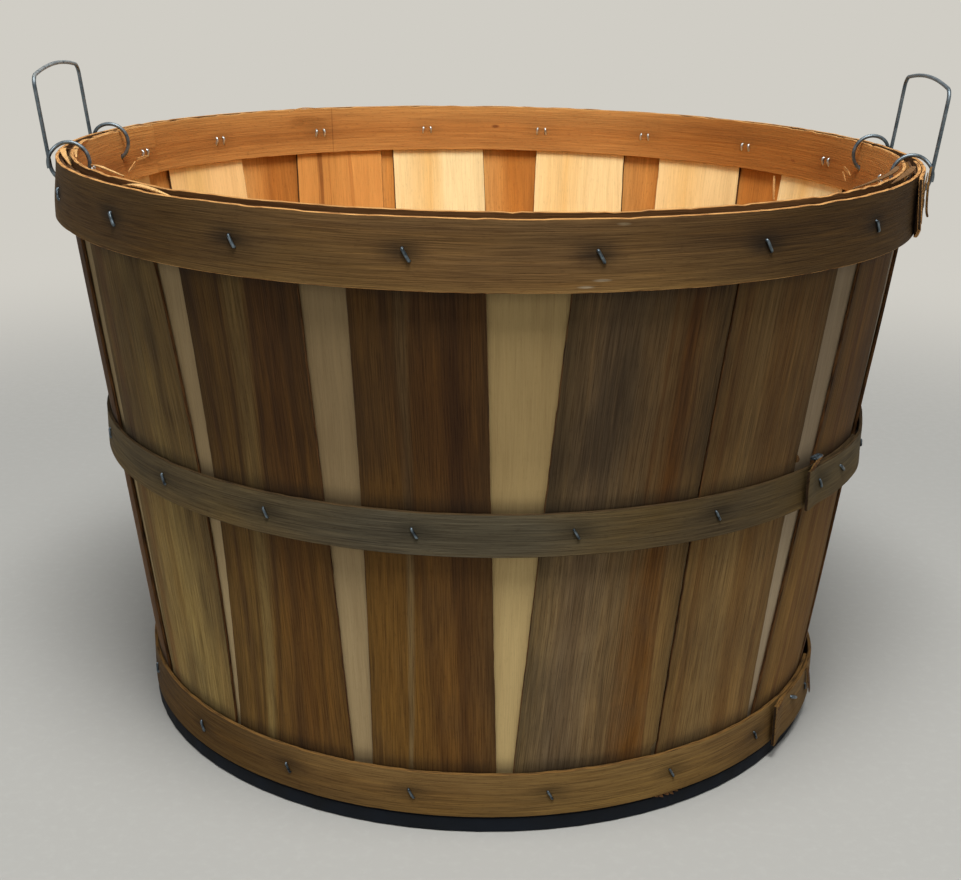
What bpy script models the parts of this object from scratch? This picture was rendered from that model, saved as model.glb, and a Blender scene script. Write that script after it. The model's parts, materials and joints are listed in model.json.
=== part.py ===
"""A bushel basket of bent wood veneer with two swinging wire handles.

Two skins of upright staves stand on a round base board. Four bent hoops hold them together, and wire
staples go through the hoops and the staves at the rim. Each handle is one wire whose two ends go
through the wall and round over the rim.

Run it with blender --background --python part.py, or from the text editor. Lengths are metres, angles
are degrees counted from +X towards +Y, +Z is up, and the origin is the middle of the underside.
"""

import math

import bmesh
import bpy
from mathutils import Matrix, Vector

# Overall form
HEIGHT = 0.309
RIM_RADIUS = 0.230
FOOT_RADIUS = 0.1895
FIT = 0.0004

# Base and floor
BASE_THICKNESS = 0.0085
BASE_INSET = 0.0008
BASE_EDGE_BEVEL = 0.0008
FLOOR_THICKNESS = 0.007
FLOOR_BOARD_NAMES = ("floor_board_front", "floor_board_middle", "floor_board_back")

# Staves
OUTER_STAVE_THICKNESS = 0.0016
INNER_STAVE_THICKNESS = 0.0016
STAVE_TOP_DROP = 0.0022

# Hoops
RIM_HOOP_WIDTH = 0.031
RIM_HOOP_THICKNESS = 0.0018
INNER_HOOP_WIDTH = 0.029
INNER_HOOP_THICKNESS = 0.0017
# How far the inner hoop leans out, as a share of what the wall widens over the hoop's width
INNER_HOOP_FLARE_SHARE = 0.65
MID_HOOP_TOP = 0.1742
MID_HOOP_WIDTH = 0.0207
MID_HOOP_THICKNESS = 0.0017
BOTTOM_HOOP_WIDTH = 0.0237
BOTTOM_HOOP_THICKNESS = 0.0019
LAP_LENGTH = 0.070
LAP_RISE_LENGTH = 0.040
RIM_LAP_END = -24.8
INNER_LAP_END = 158.0
MID_LAP_END = -43.2
BOTTOM_LAP_END = -37.8

# Handles
HANDLE_WIRE_RADIUS = 0.0011
HANDLE_HALF_WIDTH = 0.043
HANDLE_REACH = 0.0461
HANDLE_LEAN = 7.0
GRIP_CORNER_RADIUS = 0.006
GRIP_ARCH = 0.003
HOOK_RADIUS = 0.0105
HOOK_CENTRE_DROP = 0.006
HOOK_END = -375.0
HOOK_ASIDE_START = -300.0
HOOK_ASIDE_SPAN = 40.0
HOOK_SIDE_GAP = 0.0006

# Rim staples
STAPLE_WIRE_RADIUS = 0.0005
STAPLE_BEND_RADIUS = 0.0009
STAPLE_RISE = 0.0062
STAPLE_RUN = 0.0034
STAPLE_DROP = 0.0158
STAPLE_CLINCH = 0.0026
PIERCE_CLEARANCE = 0.0003
PIERCE_OVERRUN = 0.004

# Azimuth at the foot, lean, and width as a share of the pitch at the foot. The lean is in degrees for
# a foot that is drawn in to a point, so that staves with straight sides never cross as the taper changes
OUTER_STAVE_SHARES = (
    (-164.0, 0.0, 0.91),
    (-141.0, -1.2, 0.90),
    (-119.6, -0.6, 0.88),
    (-96.6, -8.6, 0.84),
    (-74.25, 20.28, 1.0),
    (-53.2, -0.6, 0.86),
    (-32.3, -10.4, 0.88),
    (-10.4, -3.7, 0.95),
    (13.6, 14.7, 0.96),
    (40.0, 12.2, 0.90),
    (63.0, -6.1, 0.92),
    (85.5, 6.1, 0.87),
    (107.6, 4.9, 0.89),
    (131.0, 6.1, 0.91),
    (153.5, 6.1, 0.86),
    (175.4, 3.7, 0.88),
)
INNER_STAVE_SHARES = (
    (-152.0, 0.0, 0.86),
    (-131.1, 0.0, 0.87),
    (-108.4, -1.2, 0.85),
    (-87.2, 0.0, 0.83),
    (-64.0, 6.1, 0.84),
    (-43.0, 1.8, 0.86),
    (-21.0, -3.1, 0.85),
    (3.0, 15.3, 0.87),
    (26.0, -8.6, 0.86),
    (49.0, 9.2, 0.86),
    (72.5, 6.1, 0.86),
    (97.0, 15.9, 0.87),
    (119.0, -7.9, 0.85),
    (143.0, 16.5, 0.89),
    (166.0, 9.2, 0.86),
    (187.8, -1.8, 0.84),
)
# The outer and the inner stave beside each rim staple, counted from 1, and the staple's place as a
# share of the way from the inner stave's edge to the outer stave's edge
STAPLE_SHARES = (
    (1, 1, 0.32),
    (2, 2, 0.14),
    (3, 3, -0.37),
    (4, 3, -0.36),
    (5, 5, -0.81),
    (6, 5, 0.55),
    (7, 6, 0.52),
    (8, 7, 0.79),
    (9, 8, 1.79),
    (9, 9, 0.58),
    (10, 10, -0.17),
    (11, 10, -0.54),
    (12, 11, 0.29),
    (13, 12, 0.81),
    (13, 13, 1.65),
    (15, 14, 1.58),
    (15, 15, 0.64),
    (16, 16, 0.39),
)
# How far each stave's top end lies below the rim, as a share of STAVE_TOP_DROP
STAVE_DROP_SHARES = (0.3, 0.7, 0.45, 0.9, 0.35, 0.6, 0.8, 0.5)

# Facets
STAVE_COLUMN_COUNT = 5
STAVE_ROW_COUNT = 2
HOOP_STEP = 4.0
HOOK_STEP = 11.0
CORNER_STEPS = 5
GRIP_STEPS = 8
PIERCE_SIDES = 8
RING_CUT_SEGMENTS = 40
RING_CUT_SIDES = 8
DISC_SIDES = 72
BOARD_ARC_STEP = 5.0
WIRE_RESOLUTION = 2

# Heights and radii that follow
FOOT_LEVEL = BASE_THICKNESS + FIT
STAVE_TOP_RADIUS = RIM_RADIUS - RIM_HOOP_THICKNESS - FIT
TAPER = (STAVE_TOP_RADIUS - FOOT_RADIUS) / (HEIGHT - FOOT_LEVEL)
SKIN_STEP = OUTER_STAVE_THICKNESS + FIT
WALL_STEP = SKIN_STEP + INNER_STAVE_THICKNESS
STAPLE_LEVEL = HEIGHT - STAPLE_DROP
HINGE_LEVEL = HEIGHT - HOOK_CENTRE_DROP

# Colour, roughness and metallic value of each material
MATERIALS = {
    "outer_stave_veneer": ((0.120, 0.066, 0.030), 0.72, 0.0),
    "inner_stave_veneer": ((0.560, 0.370, 0.190), 0.70, 0.0),
    "rim_hoop_veneer": ((0.150, 0.080, 0.034), 0.68, 0.0),
    "inner_hoop_veneer": ((0.440, 0.180, 0.060), 0.66, 0.0),
    "mid_hoop_veneer": ((0.130, 0.100, 0.055), 0.74, 0.0),
    "bottom_hoop_veneer": ((0.190, 0.100, 0.040), 0.72, 0.0),
    "base_wood": ((0.018, 0.022, 0.030), 0.80, 0.0),
    "floor_wood": ((0.420, 0.270, 0.130), 0.74, 0.0),
    "handle_wire": ((0.150, 0.175, 0.185), 0.42, 0.9),
    "staple_wire": ((0.360, 0.360, 0.340), 0.38, 0.9),
}


def clear_scene():
    """Removes every object that the scene starts with."""
    for item in list(bpy.data.objects):
        bpy.data.objects.remove(item, do_unlink=True)


def new_collection(name):
    """Returns a new collection under the scene's own."""
    collection = bpy.data.collections.new(name)
    bpy.context.scene.collection.children.link(collection)
    return collection


def new_material(name, colour, roughness, metallic):
    """Returns a Principled material of one colour."""
    material = bpy.data.materials.new(name)
    material.use_nodes = True
    shader = material.node_tree.nodes["Principled BSDF"]
    shader.inputs["Base Color"].default_value = (*colour, 1.0)
    shader.inputs["Roughness"].default_value = roughness
    shader.inputs["Metallic"].default_value = metallic
    material.diffuse_color = (*colour, 1.0)
    return material


def signed(angle):
    """Returns an angle in degrees between -180 and 180."""
    return (angle + 180.0) % 360.0 - 180.0


def ease(share):
    """Returns a smooth step from 0 to 1 for a share that may lie outside that span."""
    held = min(max(share, 0.0), 1.0)
    return held * held * (3.0 - 2.0 * held)


def stave_face(height):
    """Returns the radius of the outer skin's outside at a height."""
    return FOOT_RADIUS + TAPER * (height - FOOT_LEVEL)


class Hoop:
    """A veneer band that goes once round, its last stretch lapped over its own start.

    The band starts under the lap, goes round in the direction of turn (1 or -1), and steps clear of
    its start by its thickness, outwards where side is 1 and inwards where it is -1.
    """

    def __init__(self, bottom, width, thickness, lap_end, turn, side, foot_radius, flare):
        self.bottom = bottom
        self.width = width
        self.thickness = thickness
        self.turn = turn
        self.side = side
        self.foot_radius = foot_radius
        self.flare = flare
        self.lap = math.degrees(LAP_LENGTH / foot_radius)
        self.rise = math.degrees(LAP_RISE_LENGTH / foot_radius)
        self.start = lap_end - turn * self.lap

    def middle(self, swept, height):
        """Returns the radius of the band's middle surface after a swept angle, at a height."""
        step = (self.thickness + FIT) * ease((swept - 360.0 + self.rise) / self.rise)
        return self.foot_radius + self.flare * (height - self.bottom) / self.width + self.side * step

    def face(self, azimuth, height, side):
        """Returns the radius of the hoop's outside (side 1) or inside (side -1) at an azimuth."""
        swept = (self.turn * (azimuth - self.start)) % 360.0
        last = swept + 360.0 if swept <= self.lap else swept
        showing = last if side == self.side else swept
        return self.middle(showing, height) + side * self.thickness / 2

    def place(self, along, up):
        """Returns the point of the middle surface at shares along and up the band."""
        swept = along * (360.0 + self.lap)
        height = self.bottom + up * self.width
        angle = math.radians(self.start + self.turn * swept)
        radius = self.middle(swept, height)
        return Vector((radius * math.cos(angle), radius * math.sin(angle), height))


def outside_hoop(top, width, thickness, lap_end):
    """Returns an upright hoop whose top edge is tight round the outer staves."""
    radius = stave_face(top) + FIT + thickness / 2
    return Hoop(top - width, width, thickness, lap_end, -1, 1, radius, 0.0)


def inside_hoop(top, width, thickness, lap_end, flare):
    """Returns a hoop whose bottom edge is tight inside the inner staves."""
    radius = stave_face(top - width) - WALL_STEP - FIT - thickness / 2
    return Hoop(top - width, width, thickness, lap_end, -1, -1, radius, flare)


RIM_HOOP = outside_hoop(HEIGHT, RIM_HOOP_WIDTH, RIM_HOOP_THICKNESS, RIM_LAP_END)
MID_HOOP = outside_hoop(MID_HOOP_TOP, MID_HOOP_WIDTH, MID_HOOP_THICKNESS, MID_LAP_END)
BOTTOM_HOOP = outside_hoop(
    FOOT_LEVEL + BOTTOM_HOOP_WIDTH, BOTTOM_HOOP_WIDTH, BOTTOM_HOOP_THICKNESS, BOTTOM_LAP_END
)
INNER_HOOP = inside_hoop(
    HEIGHT,
    INNER_HOOP_WIDTH,
    INNER_HOOP_THICKNESS,
    INNER_LAP_END,
    INNER_HOOP_FLARE_SHARE * TAPER * INNER_HOOP_WIDTH,
)


def hinge_reach(azimuth):
    """Returns the distance from the basket's axis to the hinge line of the handle at an azimuth.

    The hinge line runs in the middle of the wall, laps included, where the two hooks go through it.
    """
    aside = math.degrees(math.asin(HANDLE_HALF_WIDTH / RIM_RADIUS))
    hooks = (azimuth - aside, azimuth + aside)
    outside = max(RIM_HOOP.face(hook, STAPLE_LEVEL, 1) for hook in hooks)
    inside = min(INNER_HOOP.face(hook, STAPLE_LEVEL, -1) for hook in hooks)
    middle = (outside + inside) / 2
    return math.sqrt(middle**2 - HANDLE_HALF_WIDTH**2)


def adopt(item, name, collection, material, parent):
    """Names an object, moves it to its collection and gives it its material and its parent."""
    for holder in list(item.users_collection):
        holder.objects.unlink(item)
    collection.objects.link(item)
    item.name = name
    item.data.name = name
    item.parent = parent
    if material is not None:
        item.data.materials.append(material)
    return item


def veneer(columns, rows, place, thickness):
    """Returns a sheet of veneer: a grid whose points place(along, up) sets, made solid."""
    bpy.ops.mesh.primitive_grid_add(x_subdivisions=columns, y_subdivisions=rows, size=1)
    sheet = bpy.context.object
    for vertex in sheet.data.vertices:
        vertex.co = place(vertex.co.x + 0.5, vertex.co.y + 0.5)
    sheet.data.shade_smooth()
    solid = sheet.modifiers.new("veneer thickness", "SOLIDIFY")
    solid.thickness = thickness
    solid.offset = 0.0
    solid.use_even_offset = True
    return sheet


def cut(item, cutter):
    """Cuts a closed piece by a cutter."""
    modifier = item.modifiers.new(cutter.name, "BOOLEAN")
    modifier.operation = "DIFFERENCE"
    modifier.solver = "EXACT"
    modifier.object = cutter


def make_hoop(name, hoop, cutters, collection, material, parent):
    """Makes one hoop and cuts the holes that wires go through."""
    columns = math.ceil((360.0 + hoop.lap) / HOOP_STEP)
    band = veneer(columns, 1, hoop.place, hoop.thickness)
    adopt(band, name, collection, material, parent)
    for cutter in cutters:
        cut(band, cutter)
    return band


class Stave:
    """A parallel-sided strip of veneer that stands in one of the two skins."""

    def __init__(self, shares, count, inset, thickness, drop_share):
        self.foot, lean, width_share = shares
        self.head = self.foot + lean * (1 - FOOT_RADIUS / STAVE_TOP_RADIUS)
        self.width = width_share * 2 * math.pi * (FOOT_RADIUS - inset) / count
        self.inset = inset
        self.thickness = thickness
        self.top = HEIGHT - STAVE_TOP_DROP * drop_share

    def azimuth(self, height):
        """Returns the azimuth of the stave's middle line at a height."""
        share = (height - FOOT_LEVEL) / (HEIGHT - FOOT_LEVEL)
        return self.foot + (self.head - self.foot) * share

    def half_angle(self, height):
        """Returns half the angle that the stave takes at a height."""
        return math.degrees(self.width / 2 / (stave_face(height) - self.inset))

    def edge(self, height, side):
        """Returns the azimuth of the stave's edge at a height, on the side that is 1 or -1."""
        return self.azimuth(height) + side * self.half_angle(height)

    def place(self, along, up):
        """Returns the point of the middle surface at shares across and up, about azimuth 0."""
        height = FOOT_LEVEL + up * (self.top - FOOT_LEVEL)
        across = (2 * along - 1) * self.half_angle(height)
        angle = math.radians(self.azimuth(height) - self.head + across)
        radius = stave_face(height) - self.inset - self.thickness / 2
        return Vector((radius * math.cos(angle), radius * math.sin(angle), height))

    def holds(self, azimuth, height, margin):
        """Tells whether a hole of half width margin at an azimuth and height meets the stave."""
        off = signed(azimuth - self.azimuth(height))
        spare = math.degrees(margin / (stave_face(height) - self.inset))
        return abs(off) < self.half_angle(height) + spare


def stave_skin(table, inset, thickness):
    """Returns the staves of one skin."""
    skin = []
    for index, shares in enumerate(table):
        drop_share = STAVE_DROP_SHARES[index % len(STAVE_DROP_SHARES)]
        skin.append(Stave(shares, len(table), inset, thickness, drop_share))
    return skin


OUTER_STAVES = stave_skin(OUTER_STAVE_SHARES, 0.0, OUTER_STAVE_THICKNESS)
INNER_STAVES = stave_skin(INNER_STAVE_SHARES, SKIN_STEP, INNER_STAVE_THICKNESS)


def make_staves(prefix, skin, holes, collection, material, parent):
    """Makes one skin of staves, each cut by the holes that meet it."""
    for index, stave in enumerate(skin):
        strip = veneer(STAVE_COLUMN_COUNT, STAVE_ROW_COUNT, stave.place, stave.thickness)
        adopt(strip, f"{prefix}_{index + 1:02d}", collection, material, parent)
        strip.rotation_euler.z = math.radians(stave.head)
        for azimuth, height, margin, cutter in holes:
            if stave.holds(azimuth, height, margin):
                cut(strip, cutter)


def make_base(collection, material, parent):
    """Makes the round board that the basket stands on."""
    radius = BOTTOM_HOOP.foot_radius + BOTTOM_HOOP.thickness / 2 - BASE_INSET
    bpy.ops.mesh.primitive_cylinder_add(
        vertices=DISC_SIDES, radius=radius, depth=BASE_THICKNESS, location=(0, 0, BASE_THICKNESS / 2)
    )
    board = adopt(bpy.context.object, "base_board", collection, material, parent)
    bevel = board.modifiers.new("worn edge", "BEVEL")
    bevel.width = BASE_EDGE_BEVEL
    bevel.segments = 1
    return board


def board_outline(radius, low, high):
    """Returns the outline of a round floor's board between two lines across it."""
    first = math.asin(max(low / radius, -1.0))
    last = math.asin(min(high / radius, 1.0))
    steps = math.ceil(math.degrees(last - first) / BOARD_ARC_STEP)
    points = []
    for step in range(steps + 1):
        angle = first + (last - first) * step / steps
        points.append((radius * math.cos(angle), radius * math.sin(angle)))
    mirrored = [(-x, y) for x, y in reversed(points) if x > FIT]
    return points + mirrored


def make_floor(collection, material, parent):
    """Makes the floor of boards that lie side by side between the feet of the staves."""
    radius = stave_face(FOOT_LEVEL) - WALL_STEP - FIT
    width = 2 * radius / len(FLOOR_BOARD_NAMES)
    for index, name in enumerate(FLOOR_BOARD_NAMES):
        low = -radius + index * width
        high = low + width
        if index > 0:
            low += FIT
        data = bpy.data.curves.new(name, "CURVE")
        data.dimensions = "2D"
        data.fill_mode = "BOTH"
        data.extrude = FLOOR_THICKNESS / 2
        outline = board_outline(radius, low, high)
        spline = data.splines.new("POLY")
        spline.points.add(len(outline) - 1)
        for point, (x, y) in zip(spline.points, outline):
            point.co = (x, y, 0, 1)
        spline.use_cyclic_u = True
        board = bpy.data.objects.new(name, data)
        bpy.context.scene.collection.objects.link(board)
        board.location.z = FOOT_LEVEL + FLOOR_THICKNESS / 2
        adopt(board, name, collection, material, parent)


def wire(name, points, radius, collection, material, parent):
    """Makes a round wire along a list of points."""
    data = bpy.data.curves.new(name, "CURVE")
    data.dimensions = "3D"
    data.bevel_depth = radius
    data.bevel_resolution = WIRE_RESOLUTION
    data.use_fill_caps = True
    spline = data.splines.new("POLY")
    spline.points.add(len(points) - 1)
    for point, place in zip(spline.points, points):
        point.co = (*place, 1)
    item = bpy.data.objects.new(name, data)
    bpy.context.scene.collection.objects.link(item)
    return adopt(item, name, collection, material, parent)


def rounded(points, radius):
    """Returns a path whose inner corners are cut twice, as a bent wire's are."""
    path = [points[0]]
    for before, corner, after in zip(points, points[1:], points[2:]):
        back = (before - corner).normalized() * radius
        ahead = (after - corner).normalized() * radius
        path.append(corner + back)
        path.append(corner + (back + ahead) * (1 - math.sqrt(0.5)))
        path.append(corner + ahead)
    path.append(points[-1])
    return path


def hook_point(angle):
    """Returns a point of the back leg's hook, with the hinge line along Y through the origin.

    The hook goes round from the leg, down through the wall, up inside, over the rim and down again
    beside the leg. Its last stretch lies beside the leg, clear of it.
    """
    side_step = 2 * HANDLE_WIRE_RADIUS + HOOK_SIDE_GAP
    aside = side_step * ease((HOOK_ASIDE_START - angle) / HOOK_ASIDE_SPAN)
    turned = math.radians(angle)
    return Vector(
        (HOOK_RADIUS * math.cos(turned), HANDLE_HALF_WIDTH + aside, HOOK_RADIUS * math.sin(turned))
    )


def handle_path():
    """Returns the points of one handle, from the back hook's end to the front hook's end."""
    steps = math.ceil((-HANDLE_LEAN - HOOK_END) / HOOK_STEP)
    half = []
    for step in range(steps + 1):
        half.append(hook_point(HOOK_END + (-HANDLE_LEAN - HOOK_END) * step / steps))
    lean = math.radians(HANDLE_LEAN)
    up = Vector((math.sin(lean), 0, math.cos(lean)))
    foot = Vector((half[-1].x, 0, half[-1].z))
    corner_side = HANDLE_HALF_WIDTH - GRIP_CORNER_RADIUS
    corner_level = HANDLE_REACH - GRIP_CORNER_RADIUS
    for step in range(CORNER_STEPS + 1):
        turned = math.radians(90.0 * step / CORNER_STEPS)
        side = corner_side + GRIP_CORNER_RADIUS * math.cos(turned)
        level = corner_level + GRIP_CORNER_RADIUS * math.sin(turned)
        half.append(foot + up * level + Vector((0, side, 0)))
    for step in range(1, GRIP_STEPS // 2 + 1):
        share = 1 - 2 * step / GRIP_STEPS
        level = HANDLE_REACH + GRIP_ARCH * (1 - share**2)
        half.append(foot + up * level + Vector((0, corner_side * share, 0)))
    mirrored = [Vector((point.x, -point.y, point.z)) for point in reversed(half[:-1])]
    return half + mirrored


def make_handle(name, azimuth, collection, material, parent):
    """Makes a handle on an empty that stands on its hinge line."""
    hinge = bpy.data.objects.new(f"{name}_hinge", None)
    bpy.context.scene.collection.objects.link(hinge)
    turned = math.radians(azimuth)
    reach = hinge_reach(azimuth)
    hinge.location = (reach * math.cos(turned), reach * math.sin(turned), HINGE_LEVEL)
    hinge.rotation_euler.z = turned
    hinge.parent = parent
    return wire(name, handle_path(), HANDLE_WIRE_RADIUS, collection, material, hinge)


def make_hook_cutters(collection):
    """Makes the rings that cut the four holes of the hooks, and lists where each one cuts."""
    holes = []
    for turn_name, azimuth, way in (("right", 0.0, 1), ("left", 180.0, -1)):
        reach = hinge_reach(azimuth)
        for side_name, side in (("front", -1), ("back", 1)):
            centre = Vector((way * reach, side * HANDLE_HALF_WIDTH, HINGE_LEVEL))
            bpy.ops.mesh.primitive_torus_add(
                major_radius=HOOK_RADIUS,
                minor_radius=HANDLE_WIRE_RADIUS + PIERCE_CLEARANCE,
                major_segments=RING_CUT_SEGMENTS,
                minor_segments=RING_CUT_SIDES,
                location=centre,
                rotation=(math.pi / 2, 0, 0),
            )
            name = f"hook_hole_{turn_name}_{side_name}"
            cutter = adopt(bpy.context.object, name, collection, None, None)
            pierced = math.degrees(math.atan2(centre.y, centre.x))
            level = HINGE_LEVEL - HOOK_RADIUS
            holes.append((pierced, level, HANDLE_WIRE_RADIUS, cutter))
    return holes


def staple_legs(azimuth):
    """Returns the azimuth and height of a staple's two legs, the upper one first."""
    half_turn = math.degrees(STAPLE_RUN / 2 / RIM_RADIUS)
    upper = (azimuth - half_turn, STAPLE_LEVEL + STAPLE_RISE / 2)
    lower = (azimuth + half_turn, STAPLE_LEVEL - STAPLE_RISE / 2)
    return upper, lower


def staple_azimuths():
    """Returns the azimuths of the rim staples, each set by the edges of the two staves beside it."""
    azimuths = []
    for outer_number, inner_number, share in STAPLE_SHARES:
        outer = OUTER_STAVES[outer_number - 1]
        inner = INNER_STAVES[inner_number - 1]
        between = signed(inner.azimuth(STAPLE_LEVEL) - outer.azimuth(STAPLE_LEVEL))
        side = math.copysign(1.0, between)
        inner_edge = inner.edge(STAPLE_LEVEL, -side)
        lap = signed(outer.edge(STAPLE_LEVEL, side) - inner_edge)
        azimuths.append(inner_edge + share * lap)
    return azimuths


def leg_ends(azimuth, height):
    """Returns the radii of a staple leg's outer and inner end, clear of the hoops' faces."""
    clear = STAPLE_WIRE_RADIUS + PIERCE_CLEARANCE
    outside = RIM_HOOP.face(azimuth, height, 1) + clear
    inside = INNER_HOOP.face(azimuth, height, -1) - clear
    return outside, inside


def make_staples(collection, material, parent):
    """Makes the rim staples: a crown outside, two legs, and ends clinched towards each other."""
    for index, azimuth in enumerate(staple_azimuths()):
        spots = []
        for leg_azimuth, height in staple_legs(azimuth):
            outside, inside = leg_ends(leg_azimuth, height)
            toward = math.copysign(STAPLE_CLINCH, STAPLE_LEVEL - height)
            turned = math.radians(leg_azimuth)
            way = Vector((math.cos(turned), math.sin(turned), 0))
            tip = way * inside + Vector((0, 0, height + toward))
            bend = way * inside + Vector((0, 0, height))
            crown = way * outside + Vector((0, 0, height))
            spots.append((tip, bend, crown))
        upper, lower = spots
        corners = [*upper, *reversed(lower)]
        path = rounded(corners, STAPLE_BEND_RADIUS)
        name = f"rim_staple_{index + 1:02d}"
        wire(name, path, STAPLE_WIRE_RADIUS, collection, material, parent)


def make_staple_cutters(collection):
    """Makes the pins that cut the holes of the staples' legs, and lists where each one cuts."""
    holes = []
    for index, azimuth in enumerate(staple_azimuths()):
        mesh = bpy.data.meshes.new(f"staple_hole_{index + 1:02d}")
        build = bmesh.new()
        for leg_azimuth, height in staple_legs(azimuth):
            outside, inside = leg_ends(leg_azimuth, height)
            turned = math.radians(leg_azimuth)
            middle = (outside + inside) / 2
            move = Matrix.Translation((middle * math.cos(turned), middle * math.sin(turned), height))
            aim = Matrix.Rotation(turned, 4, "Z") @ Matrix.Rotation(math.pi / 2, 4, "Y")
            radius = STAPLE_WIRE_RADIUS + PIERCE_CLEARANCE
            bmesh.ops.create_cone(
                build,
                cap_ends=True,
                segments=PIERCE_SIDES,
                radius1=radius,
                radius2=radius,
                depth=outside - inside + PIERCE_OVERRUN,
                matrix=move @ aim,
            )
        build.to_mesh(mesh)
        build.free()
        cutter = bpy.data.objects.new(mesh.name, mesh)
        bpy.context.scene.collection.objects.link(cutter)
        adopt(cutter, mesh.name, collection, None, None)
        holes.append((azimuth, STAPLE_LEVEL, STAPLE_RUN / 2, cutter))
    return holes


def hide_cutters(collection):
    """Shows the cutters as wires only, out of any render."""
    for cutter in collection.objects:
        cutter.hide_render = True
        cutter.display_type = "WIRE"


def main():
    """Builds the basket."""
    clear_scene()
    parts = new_collection("bushel basket")
    cutters = new_collection("cutters")
    paint = {name: new_material(name, *values) for name, values in MATERIALS.items()}
    frame = bpy.data.objects.new("basket_frame", None)
    bpy.context.scene.collection.objects.link(frame)

    holes = make_hook_cutters(cutters) + make_staple_cutters(cutters)
    hide_cutters(cutters)
    piercing = [hole[-1] for hole in holes]
    make_hoop("outer_rim_hoop", RIM_HOOP, piercing, parts, paint["rim_hoop_veneer"], frame)
    make_hoop("inner_rim_hoop", INNER_HOOP, piercing, parts, paint["inner_hoop_veneer"], frame)
    make_hoop("mid_hoop", MID_HOOP, [], parts, paint["mid_hoop_veneer"], frame)
    make_hoop("bottom_hoop", BOTTOM_HOOP, [], parts, paint["bottom_hoop_veneer"], frame)
    make_staves("outer_stave", OUTER_STAVES, holes, parts, paint["outer_stave_veneer"], frame)
    make_staves("inner_stave", INNER_STAVES, holes, parts, paint["inner_stave_veneer"], frame)
    make_base(parts, paint["base_wood"], frame)
    make_floor(parts, paint["floor_wood"], frame)
    make_handle("handle_right", 0.0, parts, paint["handle_wire"], frame)
    make_handle("handle_left", 180.0, parts, paint["handle_wire"], frame)
    make_staples(parts, paint["staple_wire"], frame)


main()
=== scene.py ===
"""A bushel basket of bent wood veneer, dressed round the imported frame.

Two skins of upright staves, four lapped hoops, two swinging wire handles and three rows of wire
staples. Lengths are metres and angles are degrees from +X towards +Y unless a name says otherwise.
"""

import json
import logging
import math
from collections.abc import Callable, Sequence
from dataclasses import dataclass, field
from enum import Enum

import bmesh
import bpy
from bpy.types import Material, Mesh, Node, NodeSocket, NodeTree, Object
from mathutils import Matrix, Vector, noise


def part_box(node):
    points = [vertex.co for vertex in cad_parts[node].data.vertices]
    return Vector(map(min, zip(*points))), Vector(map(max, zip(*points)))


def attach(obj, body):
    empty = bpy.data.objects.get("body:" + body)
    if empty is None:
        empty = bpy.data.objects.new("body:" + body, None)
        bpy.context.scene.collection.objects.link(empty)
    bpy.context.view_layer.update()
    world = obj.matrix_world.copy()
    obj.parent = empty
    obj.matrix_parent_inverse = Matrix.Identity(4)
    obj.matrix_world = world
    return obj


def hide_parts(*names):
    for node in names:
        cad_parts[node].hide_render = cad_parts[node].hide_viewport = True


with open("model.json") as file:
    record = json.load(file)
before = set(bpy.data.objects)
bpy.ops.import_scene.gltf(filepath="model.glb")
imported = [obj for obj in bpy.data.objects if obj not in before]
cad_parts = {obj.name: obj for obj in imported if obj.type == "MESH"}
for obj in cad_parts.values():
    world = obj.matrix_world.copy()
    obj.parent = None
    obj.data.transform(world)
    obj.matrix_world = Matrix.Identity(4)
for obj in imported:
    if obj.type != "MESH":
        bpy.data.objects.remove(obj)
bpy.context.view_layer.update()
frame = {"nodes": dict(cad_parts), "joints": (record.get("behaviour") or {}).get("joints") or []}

LOG = logging.getLogger("basket")
BODY = "basket"
GRAIN_MAP = "grain"
STAIN = "stain"
MM = 0.001
UP = Vector((0, 0, 1))
TURN = 360.0

NOISE, RAMP, MIX = "ShaderNodeTexNoise", "ShaderNodeValToRGB", "ShaderNodeMix"
RANGE, MATH, VECTOR = "ShaderNodeMapRange", "ShaderNodeMath", "ShaderNodeVectorMath"
JOIN, SPLIT, PLACE = "ShaderNodeCombineXYZ", "ShaderNodeSeparateXYZ", "ShaderNodeTexCoord"

Stops = tuple[tuple[float, str], ...]
Triple = tuple[float, float, float]


class Side(Enum):
    """The way a hoop's lap steps clear of its own start."""

    OUTSIDE = 1
    INSIDE = -1


class Lie(Enum):
    """The way in which a sliver's width runs."""

    UPRIGHT = "up"
    ROUND = "round the basket"
    FLAT = "away from the axis"


class Slot(Enum):
    """The material slots of a veneer sheet."""

    OUTER = 0
    INNER = 1
    EDGE = 2
    END = 3


@dataclass(frozen=True)
class Wall:
    """The taper of the wall, as the CAD part has it.

    Args:
        height: The level of the rim.
        rim_radius: The outer rim hoop's outside.
        rim_veneer: The outer rim hoop's thickness.
        foot_level: Where the staves start.
        foot_radius: The outer skin's outside there.
        veneer: The thickness of a stave.
        fit: The gap between two layers.
    """

    height: float = 0.309
    rim_radius: float = 0.230
    rim_veneer: float = 0.0018
    foot_level: float = 0.0089
    foot_radius: float = 0.1895
    veneer: float = 0.0016
    fit: float = 0.0004

    @property
    def taper(self) -> float:
        """Returns how much wider the wall gets per metre up."""
        top = self.rim_radius - self.rim_veneer - self.fit
        return (top - self.foot_radius) / (self.height - self.foot_level)

    @property
    def skin_step(self) -> float:
        """Returns the way from the outer skin's outside to the inner skin's outside."""
        return self.veneer + self.fit

    @property
    def wall_step(self) -> float:
        """Returns the way from the outer skin's outside to the inner skin's inside."""
        return self.skin_step + self.veneer

    def face(self, level: float) -> float:
        """Returns the radius of the outer skin's outside at a level."""
        return self.foot_radius + self.taper * (level - self.foot_level)


WALL = Wall()


# Small helpers


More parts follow.
